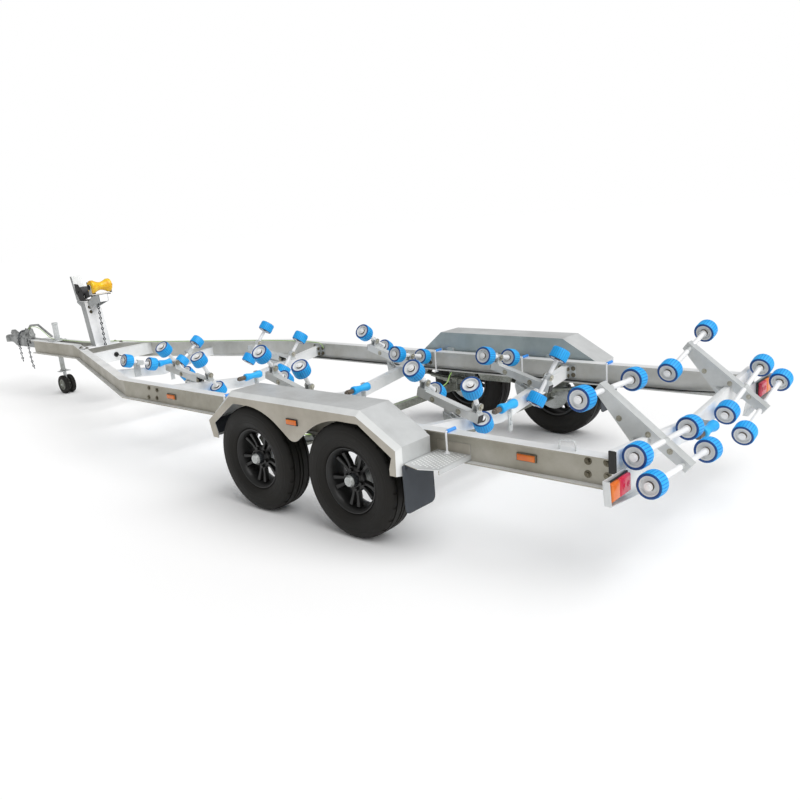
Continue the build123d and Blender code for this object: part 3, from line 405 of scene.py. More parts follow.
def noise(tree, place, scale, detail, roughness=0.5):
    node = add_node(
        tree, "ShaderNodeTexNoise", None, Vector=place, Scale=scale, Detail=detail, Roughness=roughness,
    )
    return node.outputs["Fac"]


def spread(tree, value, low, high, start=0.0, end=1.0):
    """The value, carried from the range start to end over to the range low to high."""
    node = add_node(
        tree, "ShaderNodeMapRange", None, Value=value, From_Min=start, From_Max=end, To_Min=low, To_Max=high,
    )
    return node.outputs["Result"]


def surface(tree, shader, shade, rough, strength, depth, height):
    """Feed the shader its colour, its roughness and a relief of this depth, in metres."""
    relief = add_node(tree, "ShaderNodeBump", None, Strength=strength, Distance=depth, Height=height)
    feeds = {"Base Color": shade, "Roughness": rough, "Normal": relief.outputs["Normal"]}
    for name, socket in feeds.items():
        tree.links.new(socket, shader.inputs[name])


# %% [markdown]
# ### Mill aluminium
# The beams are extruded aluminium, left as they came from the press: a dull, pale metal with faint
# lines along each bar, cloudy patches where the oxide is thicker, and small scuffs. The lines come
# from a noise stretched along X, about a millimetre apart across the bar. Light and shade are painted
# into copies of this metal: faces that do not look sideways get a near-white copy, a painted
# highlight, and the webs and flanks grey and warmer copies, painted shade, so there are several shades.

# %% Mill aluminium for the beams
def metal_finish(
    name, base, cloud, dark, metallic=0.35, rough=0.42, line_mm=None, bumps_mm=None, relief_mm=0.6,
):
    material, tree, shader, place = new_finish(name)
    shade = ramp(tree, noise(tree, place, 3.2, 6.0, 0.6), ((0.32, dark), (0.5, base), (0.72, cloud)))
    height = noise(tree, place, 60.0, 8.0, 0.7)
    worn = spread(tree, height, rough - 0.08, rough + 0.12, 0.35, 0.75)
    shader.inputs["Metallic"].default_value = metallic
    depth = relief_mm * MM
    if line_mm:
        along = add_node(
            tree, "ShaderNodeMapping", None, Vector=place,
            Scale=(1.5, 1000 / line_mm / 3, 1000 / line_mm / 3),
        )
        height = noise(tree, along.outputs["Vector"], 1.0, 3.0)
    if bumps_mm:
        cells = add_node(
            tree, "ShaderNodeTexVoronoi", {"feature": "SMOOTH_F1"}, Vector=place, Scale=1000 / bumps_mm,
            Randomness=0.85,
        )
        height = cells.outputs["Distance"]
        depth = 0.002
    surface(tree, shader, shade, worn, 0.25, depth, height)
    return material


# The near-white beam copy is a painted highlight for every face that does not look sideways.
beam_painted_highlight = metal_finish("mill_aluminium_top_painted_highlight", "#F0F1F1", "#F8F8F8", "#E0E2E1", 0.25, line_mm=1.2)
# The two web copies are painted shade on the flanks: warm and darker on the left rail, paler on the right.
near_web_painted_shade = metal_finish("mill_aluminium_left_web_painted_shade", "#A9A598", "#BCB9AF", "#989385", 0.3, 0.48, line_mm=1.2)
far_web_painted_shade = metal_finish("mill_aluminium_right_web_painted_shade", "#C6C6C1", "#D6D6D3", "#B5B4AD", 0.3, 0.46, line_mm=1.2)
# The grey side copy is painted shade for faces that look sideways.
beam_side_painted_shade = metal_finish(
    "mill_aluminium_side_painted_shade", "#A2A5A5", "#B2B4B4", "#8E9090", 0.35, 0.44, line_mm=1.2,
)
cradle_bright = metal_finish("cradle_aluminium", "#D4D7D7", "#E2E4E4", "#BFC2C1", 0.4, 0.38, line_mm=1.5)
rod_bright = metal_finish("polished_rod", "#F4F5F6", "#FBFBFB", "#E9EAEB", 0.15, 0.4, relief_mm=0.02)
# The white post copy is a painted highlight on the post's faces that do not look sideways.
post_painted_highlight = metal_finish("post_white_painted_highlight", "#F6F7F8", "#FCFCFC", "#E6E8EA", 0.1, 0.5, line_mm=1.2)
# This bluish panel copy is painted shade on the right mudguard's sideways faces.
far_flank_painted_shade = metal_finish("aluminium_far_flank_painted_shade", "#A9B5B6", "#B9C4C5", "#98A4A6", 0.35, 0.44, line_mm=1.2)

# %% [markdown]
# ### Aluminium sheet
# The mudguards are folded from rolled sheet. Their top has a fine orange-peel pattern pressed into
# it for grip and the outer panel is plain. The panel's darker colour is painted shade, and the
# bevel between them is painted near-white as a highlight.

# %% Aluminium sheet
guard_top = metal_finish("stucco_aluminium_sheet", "#C9CBCB", "#D8DADA", "#B9BAB9", 0.3, 0.4, bumps_mm=9)
# This darker panel copy is painted shade on the mudguards' sideways faces.
guard_flank_painted_shade = metal_finish("aluminium_flank_painted_shade", "#B2AC9F", "#C2BDB2", "#A39C8E", 0.25, 0.48, line_mm=2.0)
# This near-white bevel copy is a painted highlight.
bevel_painted_highlight = metal_finish(
    "aluminium_bevel_painted_highlight", "#EDEFEE", "#F7F8F7", "#DFE1E0", 0.25, 0.36, line_mm=2.0,
)

# %% [markdown]
# ### Galvanised steel
# Brackets, axles and springs are steel dipped in zinc. The zinc freezes in crystals, the spangle,
# each 5 to 8 mm across and a slightly different grey, and the surface goes matt with weather.

# %% Galvanised steel
def galvanised_finish(name, pale, mid, dark, spangle_mm, metallic=0.5):
    material, tree, shader, place = new_finish(name)
    crystals = add_node(
        tree, "ShaderNodeTexVoronoi", {"feature": "F1"}, Vector=place, Scale=1000 / spangle_mm, Randomness=1.0,
    )
    grey = add_node(tree, "ShaderNodeSeparateColor", None, Color=crystals.outputs["Color"]).outputs["Red"]
    weather = noise(tree, place, 7.0, 6.0)
    blend = add_node(tree, "ShaderNodeMath", {"operation": "MULTIPLY_ADD"}, _0=grey, _1=0.25, _2=weather)
    shade = ramp(tree, blend.outputs["Value"], ((0.35, dark), (0.62, mid), (0.9, pale)))
    shader.inputs["Metallic"].default_value = metallic
    surface(tree, shader, shade, spread(tree, grey, 0.36, 0.5), 0.15, 0.0005, weather)
    return material


galvanised = galvanised_finish("galvanised_steel", "#C9CCCB", "#B1B4B2", "#94968F", 6)
axle_zinc = galvanised_finish("weathered_zinc", "#A3A69F", "#85877F", "#5F6058", 7)
bracket_zinc = galvanised_finish("bright_zinc", "#DCDFDF", "#C8CBCB", "#ACAFAE", 5, 0.4)
zinc_bolt = galvanised_finish("zinc_plated_bolt", "#D3D1C6", "#B0AD9F", "#858173", 4, 0.7)
dark_bolt = galvanised_finish("weathered_bolt", "#8C8776", "#6E6857", "#4A4536", 4, 0.5)
chain_steel = galvanised_finish("galvanised_chain", "#7E8184", "#515457", "#26282B", 5, 0.7)

# %% [markdown]
# ### Rubber and plastic
# Moulded rubber and plastic have one colour right through, so the interest is in the surface: a fine
# moulded grain, a soft sheen, and dust that settles unevenly. The colours are bright where light
# passes a little into the material, as in the blue rollers.

# %% Moulded rubber and plastic
def moulded_finish(name, base, worn, rough, grain_mm, relief_mm, specular=0.5, patch=9.0):
    material, tree, shader, place = new_finish(name)
    patches = noise(tree, place, patch, 5.0)
    shade = ramp(tree, patches, ((0.35, base), (0.75, worn)))
    tone = spread(tree, patches, rough - 0.05, rough + 0.08, 0.3, 0.7)
    surface(tree, shader, shade, tone, 0.25, relief_mm * MM, noise(tree, place, 1000 / grain_mm, 2.0))
    shader.inputs["Specular IOR Level"].default_value = specular
    return material


roller_blue = moulded_finish("blue_roller_rubber", "#10A4EE", "#30B8F8", 0.45, 3, 0.2)
# The darker groove blue and the dark edge blue below are painted shade, in the grooves and along the rim.
sunk_groove_painted_shade = moulded_finish("blue_rubber_groove_painted_shade", "#0F78CC", "#1788DA", 0.5, 3, 0.2)
rim_edge_painted_shade = moulded_finish("blue_rubber_edge_painted_shade", "#0B3F80", "#114E94", 0.5, 3, 0.2)
roller_hub = moulded_finish("pale_nylon_hub", "#E4E7E9", "#D0D3D4", 0.45, 5, 0.1)
roller_bush = galvanised_finish("dull_brown_bush", "#7E7367", "#665B50", "#463E37", 5, 0.4)
bow_yellow = moulded_finish("yellow_urethane", "#F0CB1E", "#E39A12", 0.28, 6, 0.15, patch=26.0)
tyre_rubber = moulded_finish("tyre_rubber", "#141310", "#1E1C18", 0.6, 2, 0.3, 0.3)
flap_rubber = moulded_finish("mudflap_rubber", "#343940", "#40454C", 0.55, 3, 0.3)
black_plastic = moulded_finish("black_plastic", "#131313", "#222221", 0.42, 3, 0.1)
amber_lens = moulded_finish("amber_lens", "#D8651A", "#EA8A2C", 0.18, 20, 0.1, 0.6)
red_lens = moulded_finish("red_lens", "#C8203C", "#E0506A", 0.16, 20, 0.1, 0.6)
blue_sleeve = moulded_finish("blue_sleeve", "#2C8AE6", "#4C9DEC", 0.4, 4, 0.1)
brake_line = moulded_finish("green_brake_line", "#9CC66A", "#C9D8A0", 0.4, 4, 0.1)
webbing = moulded_finish("winch_webbing", "#3A3A3C", "#4C4C4E", 0.75, 1.5, 0.5)

# %% [markdown]
# ### Paint
# The wheels are cast alloy sprayed gloss black, and the winch is pressed steel in satin black. A
# clear coat over the colour gives the wheels their sharp highlights.

# %% Paint
def painted_finish(name, base, worn, rough, coat):
    material = moulded_finish(name, base, worn, rough, 6, 0.08)
    shader = material.node_tree.nodes["Principled BSDF"]
    shader.inputs["Coat Weight"].default_value = coat
    shader.inputs["Coat Roughness"].default_value = 0.12
    return material


wheel_black = painted_finish("gloss_black_alloy", "#090908", "#10100F", 0.46, 0.15)
wheel_inside = painted_finish("satin_black_barrel", "#0A0A09", "#121211", 0.6, 0.0)
winch_black = painted_finish("satin_black_steel", "#080808", "#100F0F", 0.6, 0.0)
coupling_grey = galvanised_finish("cast_steel_coupling", "#B4B6B5", "#8A8C8B", "#5C5D5C", 7, 0.5)

# %% [markdown]
# The frame's own beams take these finishes by slot. Light and shade are painted in by which way a
# face looks: sideways faces take the second finish, a darker copy that is painted shade, and the
# rest a paler copy, on the beams a painted highlight. Mudguards take a third, the bevel's highlight.

# %% Dress the frame
SLOT_FINISH = {
    "aluminium_beam": (beam_painted_highlight, beam_side_painted_shade),
    "aluminium_sheet": (guard_top, guard_flank_painted_shade, bevel_painted_highlight),
    "galvanised_steel": (galvanised,),
    "blue_rubber": (roller_blue,),
    "yellow_rubber": (bow_yellow,),
    "black_rubber": (flap_rubber,),
    "tyre_rubber": (tyre_rubber,),
    "black_painted_alloy": (wheel_black,),
    "black_painted_steel": (winch_black,),
    "grey_painted_steel": (coupling_grey,),
    "lamp_plastic": (amber_lens,),
}
OWN_FINISH = {
    "mudguard_right": (guard_top, far_flank_painted_shade, bevel_painted_highlight),
    "main_rail_left": (beam_painted_highlight, near_web_painted_shade),
    "main_rail_right": (beam_painted_highlight, far_web_painted_shade),
    "axle_beams": (axle_zinc,),
    "leaf_springs": (axle_zinc,),
    "spring_hangers": (axle_zinc,),
    "brake_calipers": (axle_zinc,),
    "cradle_brackets": (bracket_zinc,),
    "keel_brackets": (bracket_zinc,),
}


# Faces that look sideways take the painted-shade copy.
def sideways(centre, normal):
    return 1 if abs(normal.y) > 0.6 else 0


# Flat sideways faces take the painted-shade panel, sloping ones the painted-highlight bevel.
def guard_face(centre, normal):
    if abs(normal.y) > 0.95:
        return 1
    return 2 if abs(normal.y) > 0.3 else 0


for part in frame["record"]["subparts"]:
    name = part["node"]
    finishes = OWN_FINISH.get(name, SLOT_FINISH[part["material_slot"]])
    if "_cradle_" in name:
        finishes = (cradle_bright,)
    tests = {1: None, 2: sideways, 3: guard_face}
    dress(frame["nodes"][name], *finishes, test=tests[len(finishes)])
print("dressed", len(frame["nodes"]), "nodes")

# %% [markdown]
# ## Chains
# Two safety chains hang from the coupling and one from the winch post. Each hangs along a smooth
# line through the points of its route. One link is a torus stretched along its length; copies of it
# follow the line, each turned a quarter turn from the one before.

# %% Chains
WIRE_R = 5.0
LINK_R = 10.0
LINK_STRETCH = 9.0
LINK_PITCH = 2 * (LINK_R + LINK_STRETCH - WIRE_R)
# name, y, the route's points (x, z), how its far end finishes
CHAINS = (
    ("safety_chain_left", 28.0, ((6440, 480), (6440, 338), (6424, 300)), "bare"),
    ("safety_chain_right", -28.0, ((6330, 480), (6330, 257), (6275, 210)), "bare"),
    ("winch_post_chain", 0.0, ((4345, 1131), (4345, 706), (4335, 612)), "object"),
)


def smooth_line(points, name):
    """The points along a smooth line that is drawn towards these control points."""
    holder = smooth_curve(points, name, 24)
    traced = bpy.data.meshes.new_from_object(holder)
    path = [v.co.copy() for v in traced.vertices]
    bpy.data.objects.remove(holder, do_unlink=True)
    return path


def along_line(path, distance):
    """The place and direction at this distance along a line of points."""
    for start, end in zip(path, path[1:]):
        step = (end - start).length
        if distance <= step:
            return start + (end - start) * (distance / step), (end - start).normalized()
        distance -= step
    return path[-1], (path[-1] - path[-2]).normalized()


def line_length(path):
    return sum((b - a).length for a, b in zip(path, path[1:]))


def chain_along(path, pitch, count, lead_turn):
    """This many links along the line, each a quarter turn from the one before."""
    places = []
    for index in range(count):
        centre, direction = along_line(path, (index + 0.5) * pitch * MM)
        turn = direction.to_track_quat("X", "Z").to_matrix().to_4x4()
        roll = Matrix.Rotation(radians(lead_turn + 90 * (index % 2)), 4, "X")
        places.append(Matrix.Translation(centre) @ turn @ roll)
    return joined(copies(chain_link(), places))


def chain_link():
    pick_nothing()
    bpy.ops.mesh.primitive_torus_add(
        major_radius=LINK_R * MM, minor_radius=WIRE_R * MM, major_segments=16, minor_segments=7,
    )
    link = bpy.context.object
    for end in (1, -1):
        bpy.ops.object.mode_set(mode="OBJECT")
        for vertex in link.data.vertices:
            vertex.select = vertex.co.x * end > 0.0001
        bpy.ops.object.mode_set(mode="EDIT")
        bpy.ops.mesh.select_mode(type="VERT")
        bpy.ops.transform.translate(value=(end * LINK_STRETCH * MM, 0, 0))
    bpy.ops.object.mode_set(mode="OBJECT")
    return smooth(link, 60)


for name, y, route, far_end in CHAINS:
    path = smooth_line([at(x, y, z) for x, z in route], name)
    length = line_length(path)
    count = round(length / MM / LINK_PITCH)
    pitch = length / MM / count
    chain = chain_along(path, pitch, count, 25)
    replaced = {"winch_post_chain": ["winch_chain"], "safety_chain_left": ["safety_chains"]}.get(name, [])
    finish(chain, name, "chassis", [chain_steel], replaced)
    print(name, "length", round(length, 3), "links", count)

# %% [markdown]
# ## Boat rollers
# Each roller is a band of soft blue rubber on a pale nylon hub. Cross grooves part the band into
# blocks so that it grips the hull and sheds water. A darker blue painted into the grooves and a dark
# blue along the band's rim are painted shade. One roller is turned from its profile, its grooves are
# pushed in, and the rest are copies.

# %% One boat roller
ROLLER_R = 61.0
ROLLER_W = 78.0
BAND_IN = 46.0
RIB_STEPS = 96
RIB_PITCH = 4


def make_roller():
    half = ROLLER_W / 2
    band_rows = (
        (BAND_IN, 6 - half), (BAND_IN + 1, 1 - half), (BAND_IN + 3, -half), (ROLLER_R - 8, -half),
        (ROLLER_R - 3, 3 - half), (ROLLER_R - 1, 8 - half), (ROLLER_R, 16 - half),
    )
    band = turned(both_ways(band_rows), RIB_STEPS)

    def in_groove(centre, normal):
        place = (degrees(atan2(centre.z, centre.x)) % 360) / (360 / RIB_STEPS)
        on_band = hypot(centre.x, centre.z) > (ROLLER_R - 5) * MM
        return on_band and abs(normal.y) < 0.7 and int(place) % RIB_PITCH == 0

    sink_faces(band, in_groove, 0.955)

    def band_face(centre, normal):
        radius = hypot(centre.x, centre.z) / MM
        if abs(centre.y) > (half - 2) * MM or radius < BAND_IN + 3:
            return 1
        return 2 if radius < ROLLER_R - 2.2 and abs(centre.y) < (half - 9) * MM else 0

    # Faces at the band's rim take the dark blue and faces sunk in the grooves the darker blue, both painted
    # shade.
    dress(band, roller_blue, rim_edge_painted_shade, sunk_groove_painted_shade, test=band_face)
    hub_rows = (
        (21, 16 - half), (21, 10 - half), (23, 8 - half), (26, 13 - half), (36, 12 - half),
        (41, 3 - half), (BAND_IN, 2 - half),
    )
    hub = turned(both_ways(hub_rows), 36)
    dress(hub, roller_hub)
    bush = turned(both_ways(((12.2, -half - 1), (16.4, -half - 1), (21, 6 - half))), 24)
    dress(bush, roller_bush)
    return smooth(joined([band, hub, bush]), 40)


roller = make_roller()
print("roller faces", len(roller.data.polygons))

# %% [markdown]
# The rollers stand where the cradles hold them. Every cradle is a sloping beam with two cross rods,
# and each rod leans its own way about the beam, as the hull pushes it. The table repeats the
# numbers the frame was built from.

# %% Where the rollers go
ROCKER_DROP = 72.0
ROCKER_SPAN = 330.0
PAIR_SPAN = 250.0
ROD_R = 12.0
# name, side spacing, front rod (x, z), rear rod (x, z), tilts on the left, tilts on the right
ROCKERS = (
    ("front", 434.0, (2329.0, 661.0), (1874.0, 588.0), (-51, -59), (-52, -52)),
    ("second", 526.0, (931.0, 737.0), (569.0, 637.0), (-47, -58), (33, 15)),
    ("middle", 392.0, (-347.0, 712.0), (-732.0, 602.0), (-39, -55), (14, -57)),
)
# x, y, z and the span between the rollers' middles
REAR_RODS = ((-1615.0, 494.0, 814.0, 545.0), (-1919.0, 547.0, 603.0, 585.0), (-2011.0, 578.0, 503.0, 640.0))
REAR_TILTS = (-3, -14)
FRONT_PAIR = (3212.0, 272.0, 562.0)
FRONT_PAIR_TILTS = (-18, -38)


def side_name(side):
    return "left" if side > 0 else "right"


def leaning(centre, slope, tilt):
    """The matrix of a rod across the trailer: sloped about Y with its beam, then tilted about it."""
    turned_with_beam = Matrix.Translation(centre) @ Matrix.Rotation(-slope, 4, "Y")
    return turned_with_beam @ Matrix.Rotation(radians(tilt), 4, "X")


# each row: name of the rollers, body, and the rods with their spans
rod_rows = []
for name, spacing, front, rear, left_tilts, right_tilts in ROCKERS:
    slope = atan2(front[1] - rear[1], front[0] - rear[0])
    for side, tilts in ((1, left_tilts), (-1, right_tilts)):
        rods = [
            (leaning(at(x, side * spacing, z), slope, -side * tilt), ROCKER_SPAN)
            for (x, z), tilt in zip((front, rear), tilts)
        ]
        rod_rows.append((f"{name}_rollers_{side_name(side)}", f"{name}_cradle_{side_name(side)}_set", rods))
for side, tilt in ((1, REAR_TILTS[0]), (-1, REAR_TILTS[1])):
    rods = [(leaning(at(x, side * y, z), 0, -side * tilt), span) for x, y, z, span in REAR_RODS]
    rod_rows.append((f"rear_rollers_{side_name(side)}", f"rear_cradle_{side_name(side)}_set", rods))
pair_rods = [
    (leaning(at(FRONT_PAIR[0], side * FRONT_PAIR[1], FRONT_PAIR[2]), 0, -side * tilt), PAIR_SPAN)
    for side, tilt in ((1, FRONT_PAIR_TILTS[0]), (-1, FRONT_PAIR_TILTS[1]))
]
rod_rows.append(("front_pair_rollers", "chassis", pair_rods))

# %% Copy the roller to every rod
for node, body, rods in rod_rows:
    ends = [
        rod_matrix @ Matrix.Translation(mm_point(0, end * span / 2, 0))
        for rod_matrix, span in rods
        for end in (-1, 1)
    ]
    finish(joined(copies(roller, ends, keep=True)), f"ribbed_{node}", body, (), [node])
bpy.data.objects.remove(roller, do_unlink=True)

# %% [markdown]
# The rods are bright drawn bar, paler than the beams. A sleeve of the same bright bar goes over
# each rod's middle, and a split pin and washer keep every roller on.

# %% Bright rods and washers
for node, body, rods in rod_rows:
    parts = []
    for rod_matrix, span in rods:
        reach = span / 2 - ROLLER_W / 2 - 3
        gap = 24 if body != "chassis" else 34
        for side in (-1, 1):
            for start, end, radius in ((gap, reach, ROD_R + 2.2), (reach, span / 2 + 46, ROD_R - 0.2)):
                bar = rod(mm_point(0, side * start, 0), mm_point(0, side * end, 0), radius, 20)
                parts.append(placed(bar, rod_matrix @ bar.matrix_world))
            for place in (span / 2 - ROLLER_W / 2 - 3.0, span / 2 + ROLLER_W / 2 + 2.2):
                washer = turned(((12.1, -0.8), (20, -0.8), (20, 0.8), (12.1, 0.8)), 20)
                parts.append(placed(washer, rod_matrix @ Matrix.Translation(mm_point(0, side * place, 0))))
    finish(joined(parts), f"rod_sleeves_{node}", body, [rod_bright])

# %% [markdown]
# ## Keel rollers and bow roller
# The keel runs down the middle of the trailer over waisted rollers, wider at the ends so that it
# stays in the groove. The bow roller is the same shape in yellow urethane.

# %% Waisted rollers
KEEL_PLACES = ((3220.0, 509.0), (1890.0, 484.0), (617.0, 490.0), (-671.0, 496.0), (-1915.0, 507.0))
BOW_X = 4240.0
BOW_Z = 1232.0


def waisted(length, radius, waist, bore, flat, steps):
    """A roller with plain ends and a hollow back between them."""
    half = length / 2
    middle = [
        (waist + (radius - waist) * abs(k / 8) ** 1.7, k / 8 * (half - flat)) for k in range(-8, 9)
    ]
    profile = [(bore, -half), (radius - 6, -half), (radius - 1.5, -half + 3), (radius, -half + 8)]
    profile += middle
    profile += [(radius, half - 8), (radius - 1.5, half - 3), (radius - 6, half), (bore, half)]
    return smooth(turned(profile, steps), 40)


keel_rollers = copies(waisted(165, 31, 23, 12.4, 26, 40), [shift(x, 0, z) for x, z in KEEL_PLACES])
finish(
    joined(keel_rollers), "waisted_keel_rollers", "chassis", [roller_blue], ["keel_rollers"],
)
bow = placed(waisted(208, 66, 40, 12.4, 30, 56), shift(BOW_X, 0, BOW_Z))
finish(bow, "urethane_bow_roller", "chassis", [bow_yellow], ["bow_roller"])

# a dark bush and a nut close the left end of each keel roller's rod
bushes = []
for (x, z), length in zip(KEEL_PLACES, (7, 60, 60, 60, 60)):
    start = 83.6
    bushes.append(rod(at(x, start, z), at(x, start + length, z), 18.2, 24))
    bushes.append(bolt_on(at(x, start + length, z), (0, 1, 0), 26, 9, washer=False))
finish(joined(bushes), "keel_rod_bushes", "chassis", [roller_bush])

# %% [markdown]
# ## Tyres
# A light-truck tyre, 666 mm tall. The casing is turned from its profile: fine rings step the
# sidewall, four grooves run round the tread, and the shoulder blocks are parted by narrow slots.

# %% One tyre
TYRE_STEPS = 120


def make_tyre():
    side = (
        (182, 65.5), (191.5, 70.0), (194.7, 76), (200, 83), (208.4, 87.5), (211.6, 88.4), (213.7, 90),
        (220, 91.8), (222.1, 93.2), (235.9, 95.9), (238, 95.2), (241.1, 95.6), (243.2, 97), (266.5, 98),
        (283.4, 97.2), (285.5, 96.2), (288.7, 96), (290.8, 96.4), (304.5, 92), (316.1, 86.5), (323.5, 80),
    )
    tread = (
        (329.8, 68), (330.9, 60), (325.1, 59), (325.1, 51), (331.9, 50), (332.7, 17), (326.1, 16),
        (326.1, 8), (333, 7),
    )
    outer = both_ways([(r, -y) for r, y in side + tread])
    inner = [
        (182, 55), (192.6, 51), (298.2, 70), (318.2, 50), (319.3, 0), (318.2, -50), (298.2, -70),
        (192.6, -51), (182, -55),
    ]
    tyre = turned(outer + inner, TYRE_STEPS)

    def shoulder_slot(centre, normal):
        place = (degrees(atan2(centre.z, centre.x)) % 360) / (360 / TYRE_STEPS)
        r = hypot(centre.x, centre.z)
        outside = normal.x * centre.x + normal.z * centre.z > 0
        return outside and r > 326.3 * MM and abs(centre.y) > 60 * MM and int(place) % 5 == 0

    sink_faces(tyre, shoulder_slot, 0.989)
    return smooth(tyre, 28)


WHEEL_PLACES = (("front_left", 1, 1), ("front_right", 1, -1), ("rear_left", -1, 1), ("rear_right", -1, -1))
AXLE_HALF = 408.0
TRACK_HALF = 1083.5
HUB_Z = 333.0


def wheel_place(end, side):
    place = shift(end * AXLE_HALF, side * TRACK_HALF, HUB_Z)
    return place if side > 0 else place @ Matrix.Rotation(pi, 4, "Z")


def on_wheels(piece):
    """A copy of the piece on each wheel, with the wheel's name."""
    places = [wheel_place(end, side) for _, end, side in WHEEL_PLACES]
    return [(name, twin) for (name, _, _), twin in zip(WHEEL_PLACES, copies(piece, places))]


for name, piece in on_wheels(make_tyre()):
    finish(piece, f"treaded_tyre_{name}", f"wheel_{name}", [tyre_rubber], [f"tyre_{name}"])

# %% [markdown]
# ## Alloy wheels
# Five twin spokes run from the boss to the barrel. The barrel is turned, each spoke is drawn as a
# tapering plate whose outer face is drawn in and bevelled, and the ten are set in pairs. The boss
# carries six wheel nuts.

# %% One wheel


def make_wheel():
    barrel = turned(
        (
            (190, -75), (190, -70), (182, -66), (182, -49), (163, -31), (163, 31), (182, 49), (182, 66),
            (190, 70), (190, 74), (188, 75.5), (183, 75), (178, 70), (170, 62), (166, 52), (157, 36),
            (157, -35), (176, -75),
        ),
        72,
    )
    dress(barrel, wheel_black, wheel_inside, test=lambda c, n: 1 if hypot(c.x, c.z) < 160 * MM else 0)
    spokes = []
    for turn in range(5):
        for lean in (-1, 1):
            spoke = plate(
                [
                    mm_point(46, 8, -11), mm_point(100, 10, -9), mm_point(159, 22, -13),
                    mm_point(159, 22, 13), mm_point(100, 10, 9), mm_point(46, 8, 11),
                ],
                mm_point(0, 26, 0),
            )
            raise_faces(spoke, lambda c, n: n.y > 0.8, 3, (0, 4, 0))
            soften(spoke, 2.0, 2)
            angle = radians(turn * 72 + lean * 9 + 15)
            spoke.matrix_world = Matrix.Rotation(angle, 4, "Y") @ Matrix.Rotation(radians(lean * 2), 4, "Y")
            spokes.append(spoke)
    spokes = joined(spokes)
    dress(spokes, wheel_black)
    boss = turned(
        (
            (41, 8), (64, 8), (72, 14), (74, 24), (70, 34), (64, 38), (52, 39), (50, 42), (46, 46), (41, 46),
        ),
        48,
    )
    dress(boss, wheel_black)
    nuts = []
    for turn in range(6):
        around = Matrix.Rotation(radians(60 * turn + 45), 4, "Y")
        nuts.append(placed(bolt(19, 15), around @ facing(mm_point(57, 37, 0), (0, 1, 0))))
    nuts = joined(nuts)
    dress(nuts, wheel_black)
    return smooth(joined([barrel, spokes, boss, nuts]), 35)


for name, piece in on_wheels(make_wheel()):
    finish(piece, f"alloy_wheel_{name}", f"wheel_{name}", (), [f"rim_{name}"])

# %% [markdown]
# The bearing cap stands out of the wheel's middle: a dull steel cup with a bright turned ring round
# a black dust plug.

# %% Bearing caps
cap = turned(
    (
        (34.4, 17), (40, 17), (40, 22), (36, 24), (35.2, 66), (34, 72), (31, 79), (28, 84), (24, 88),
        (24, 60), (34.4, 60),
    ),
    48,
)
dress(cap, chain_steel)
ring = turned(((21, 84), (26.5, 84), (26.5, 88), (25.5, 90), (22, 90), (21, 89)), 48)
dress(ring, bracket_zinc)
plug = turned(((0.1, 82), (21, 82), (21, 86), (15, 87), (0.1, 87)), 32)
dress(plug, black_plastic)
for name, piece in on_wheels(smooth(joined([cap, ring, plug]), 35)):
    finish(piece, f"bearing_cap_{name}", f"wheel_{name}")

# %% [markdown]
# ## Drawbar and coupling
# The drawbar is a box beam, open at its nose. The coupling's body is drawn in side view and pushed
# out to its width, its head is turned with the ball's bore open below, and the handbrake lever is a
# long bent bar over the top.

# %% Drawbar and coupling
BEAM_REAR = 5540.0
BEAM_NOSE = 6215.0
BEAM_TOP = 605.0
BEAM_HIGH = 105.0
BEAM_WIDE = 75.0
BALL_X = 6752.0
beam_middle = at((BEAM_REAR + BEAM_NOSE) / 2, 0, BEAM_TOP - BEAM_HIGH / 2)
beam = block((BEAM_NOSE - BEAM_REAR, BEAM_WIDE, BEAM_HIGH), beam_middle)
select_faces(beam, lambda c, n: abs(n.x) > 0.9)
bpy.ops.mesh.inset(thickness=0.006, use_individual=True)
bpy.ops.mesh.extrude_region_shrink_fatten(TRANSFORM_OT_shrink_fatten={"value": -0.05})
bpy.ops.object.mode_set(mode="OBJECT")
soften(beam, 3, 2)
# Sideways faces take the grey copy, painted shade; the rest the near-white copy, a painted highlight.
dress(beam, beam_painted_highlight, beam_side_painted_shade, test=sideways)
finish(smooth(beam, 40), "drawbar_beam", "chassis", (), ["drawbar"])

COUPLING_VIEW = (
    (6080, 605), (6080, 635), (6120, 716), (6175, 720), (6260, 688), (6420, 664), (6560, 634), (6712, 620),
    (6712, 540), (6600, 536), (6520, 498), (6215, 498), (6215, 605),
)
LEVER_VIEW = (
    (6205, 690), (6085, 768), (5880, 782), (5560, 655), (5568, 640), (5876, 762), (6078, 748), (6165, 690),
)
body = soften(thick(COUPLING_VIEW, 0, 63), 7, 3, 20)
NECK_VIEW = ((6215, 590), (6216, 520), (6500, 512), (6640, 548), (6640, 610), (6400, 640))
neck = soften(thick(NECK_VIEW, 0, 76), 8, 3, 20)
lever = soften(thick(LEVER_VIEW, 0, 24), 4, 2, 20)
lug = soften(block((20, 46, 30), at(6110, 48.5, 690)), 3, 2)
head = turned(
    (
        (25.6, 0), (46, 0), (48, 3), (48, 60), (42, 76), (26, 84), (0.1, 86), (0.1, 58), (16, 53), (25.6, 34),
    ),
    48,
)
head.matrix_world = shift(BALL_X, 0, 534) @ UPRIGHT
coupling = smooth(joined([body, neck, lever, lug, head]), 40)
finish(coupling, "coupling_body", "chassis", [coupling_grey], ["coupling"])

# %% [markdown]
# The slack of the left safety chain lies shackled against the coupling's flank.

# %% Chain on the coupling
SLACK = ((6112, 60, 700), (6200, 60, 706), (6330, 58, 650), (6405, 50, 560), (6432, 34, 470))
path = smooth_line([at(*point) for point in SLACK], "lead")
chain = chain_along(path, LINK_PITCH, int(line_length(path) / MM / LINK_PITCH), 10)
finish(chain, "chain_on_coupling", "chassis", [chain_steel])

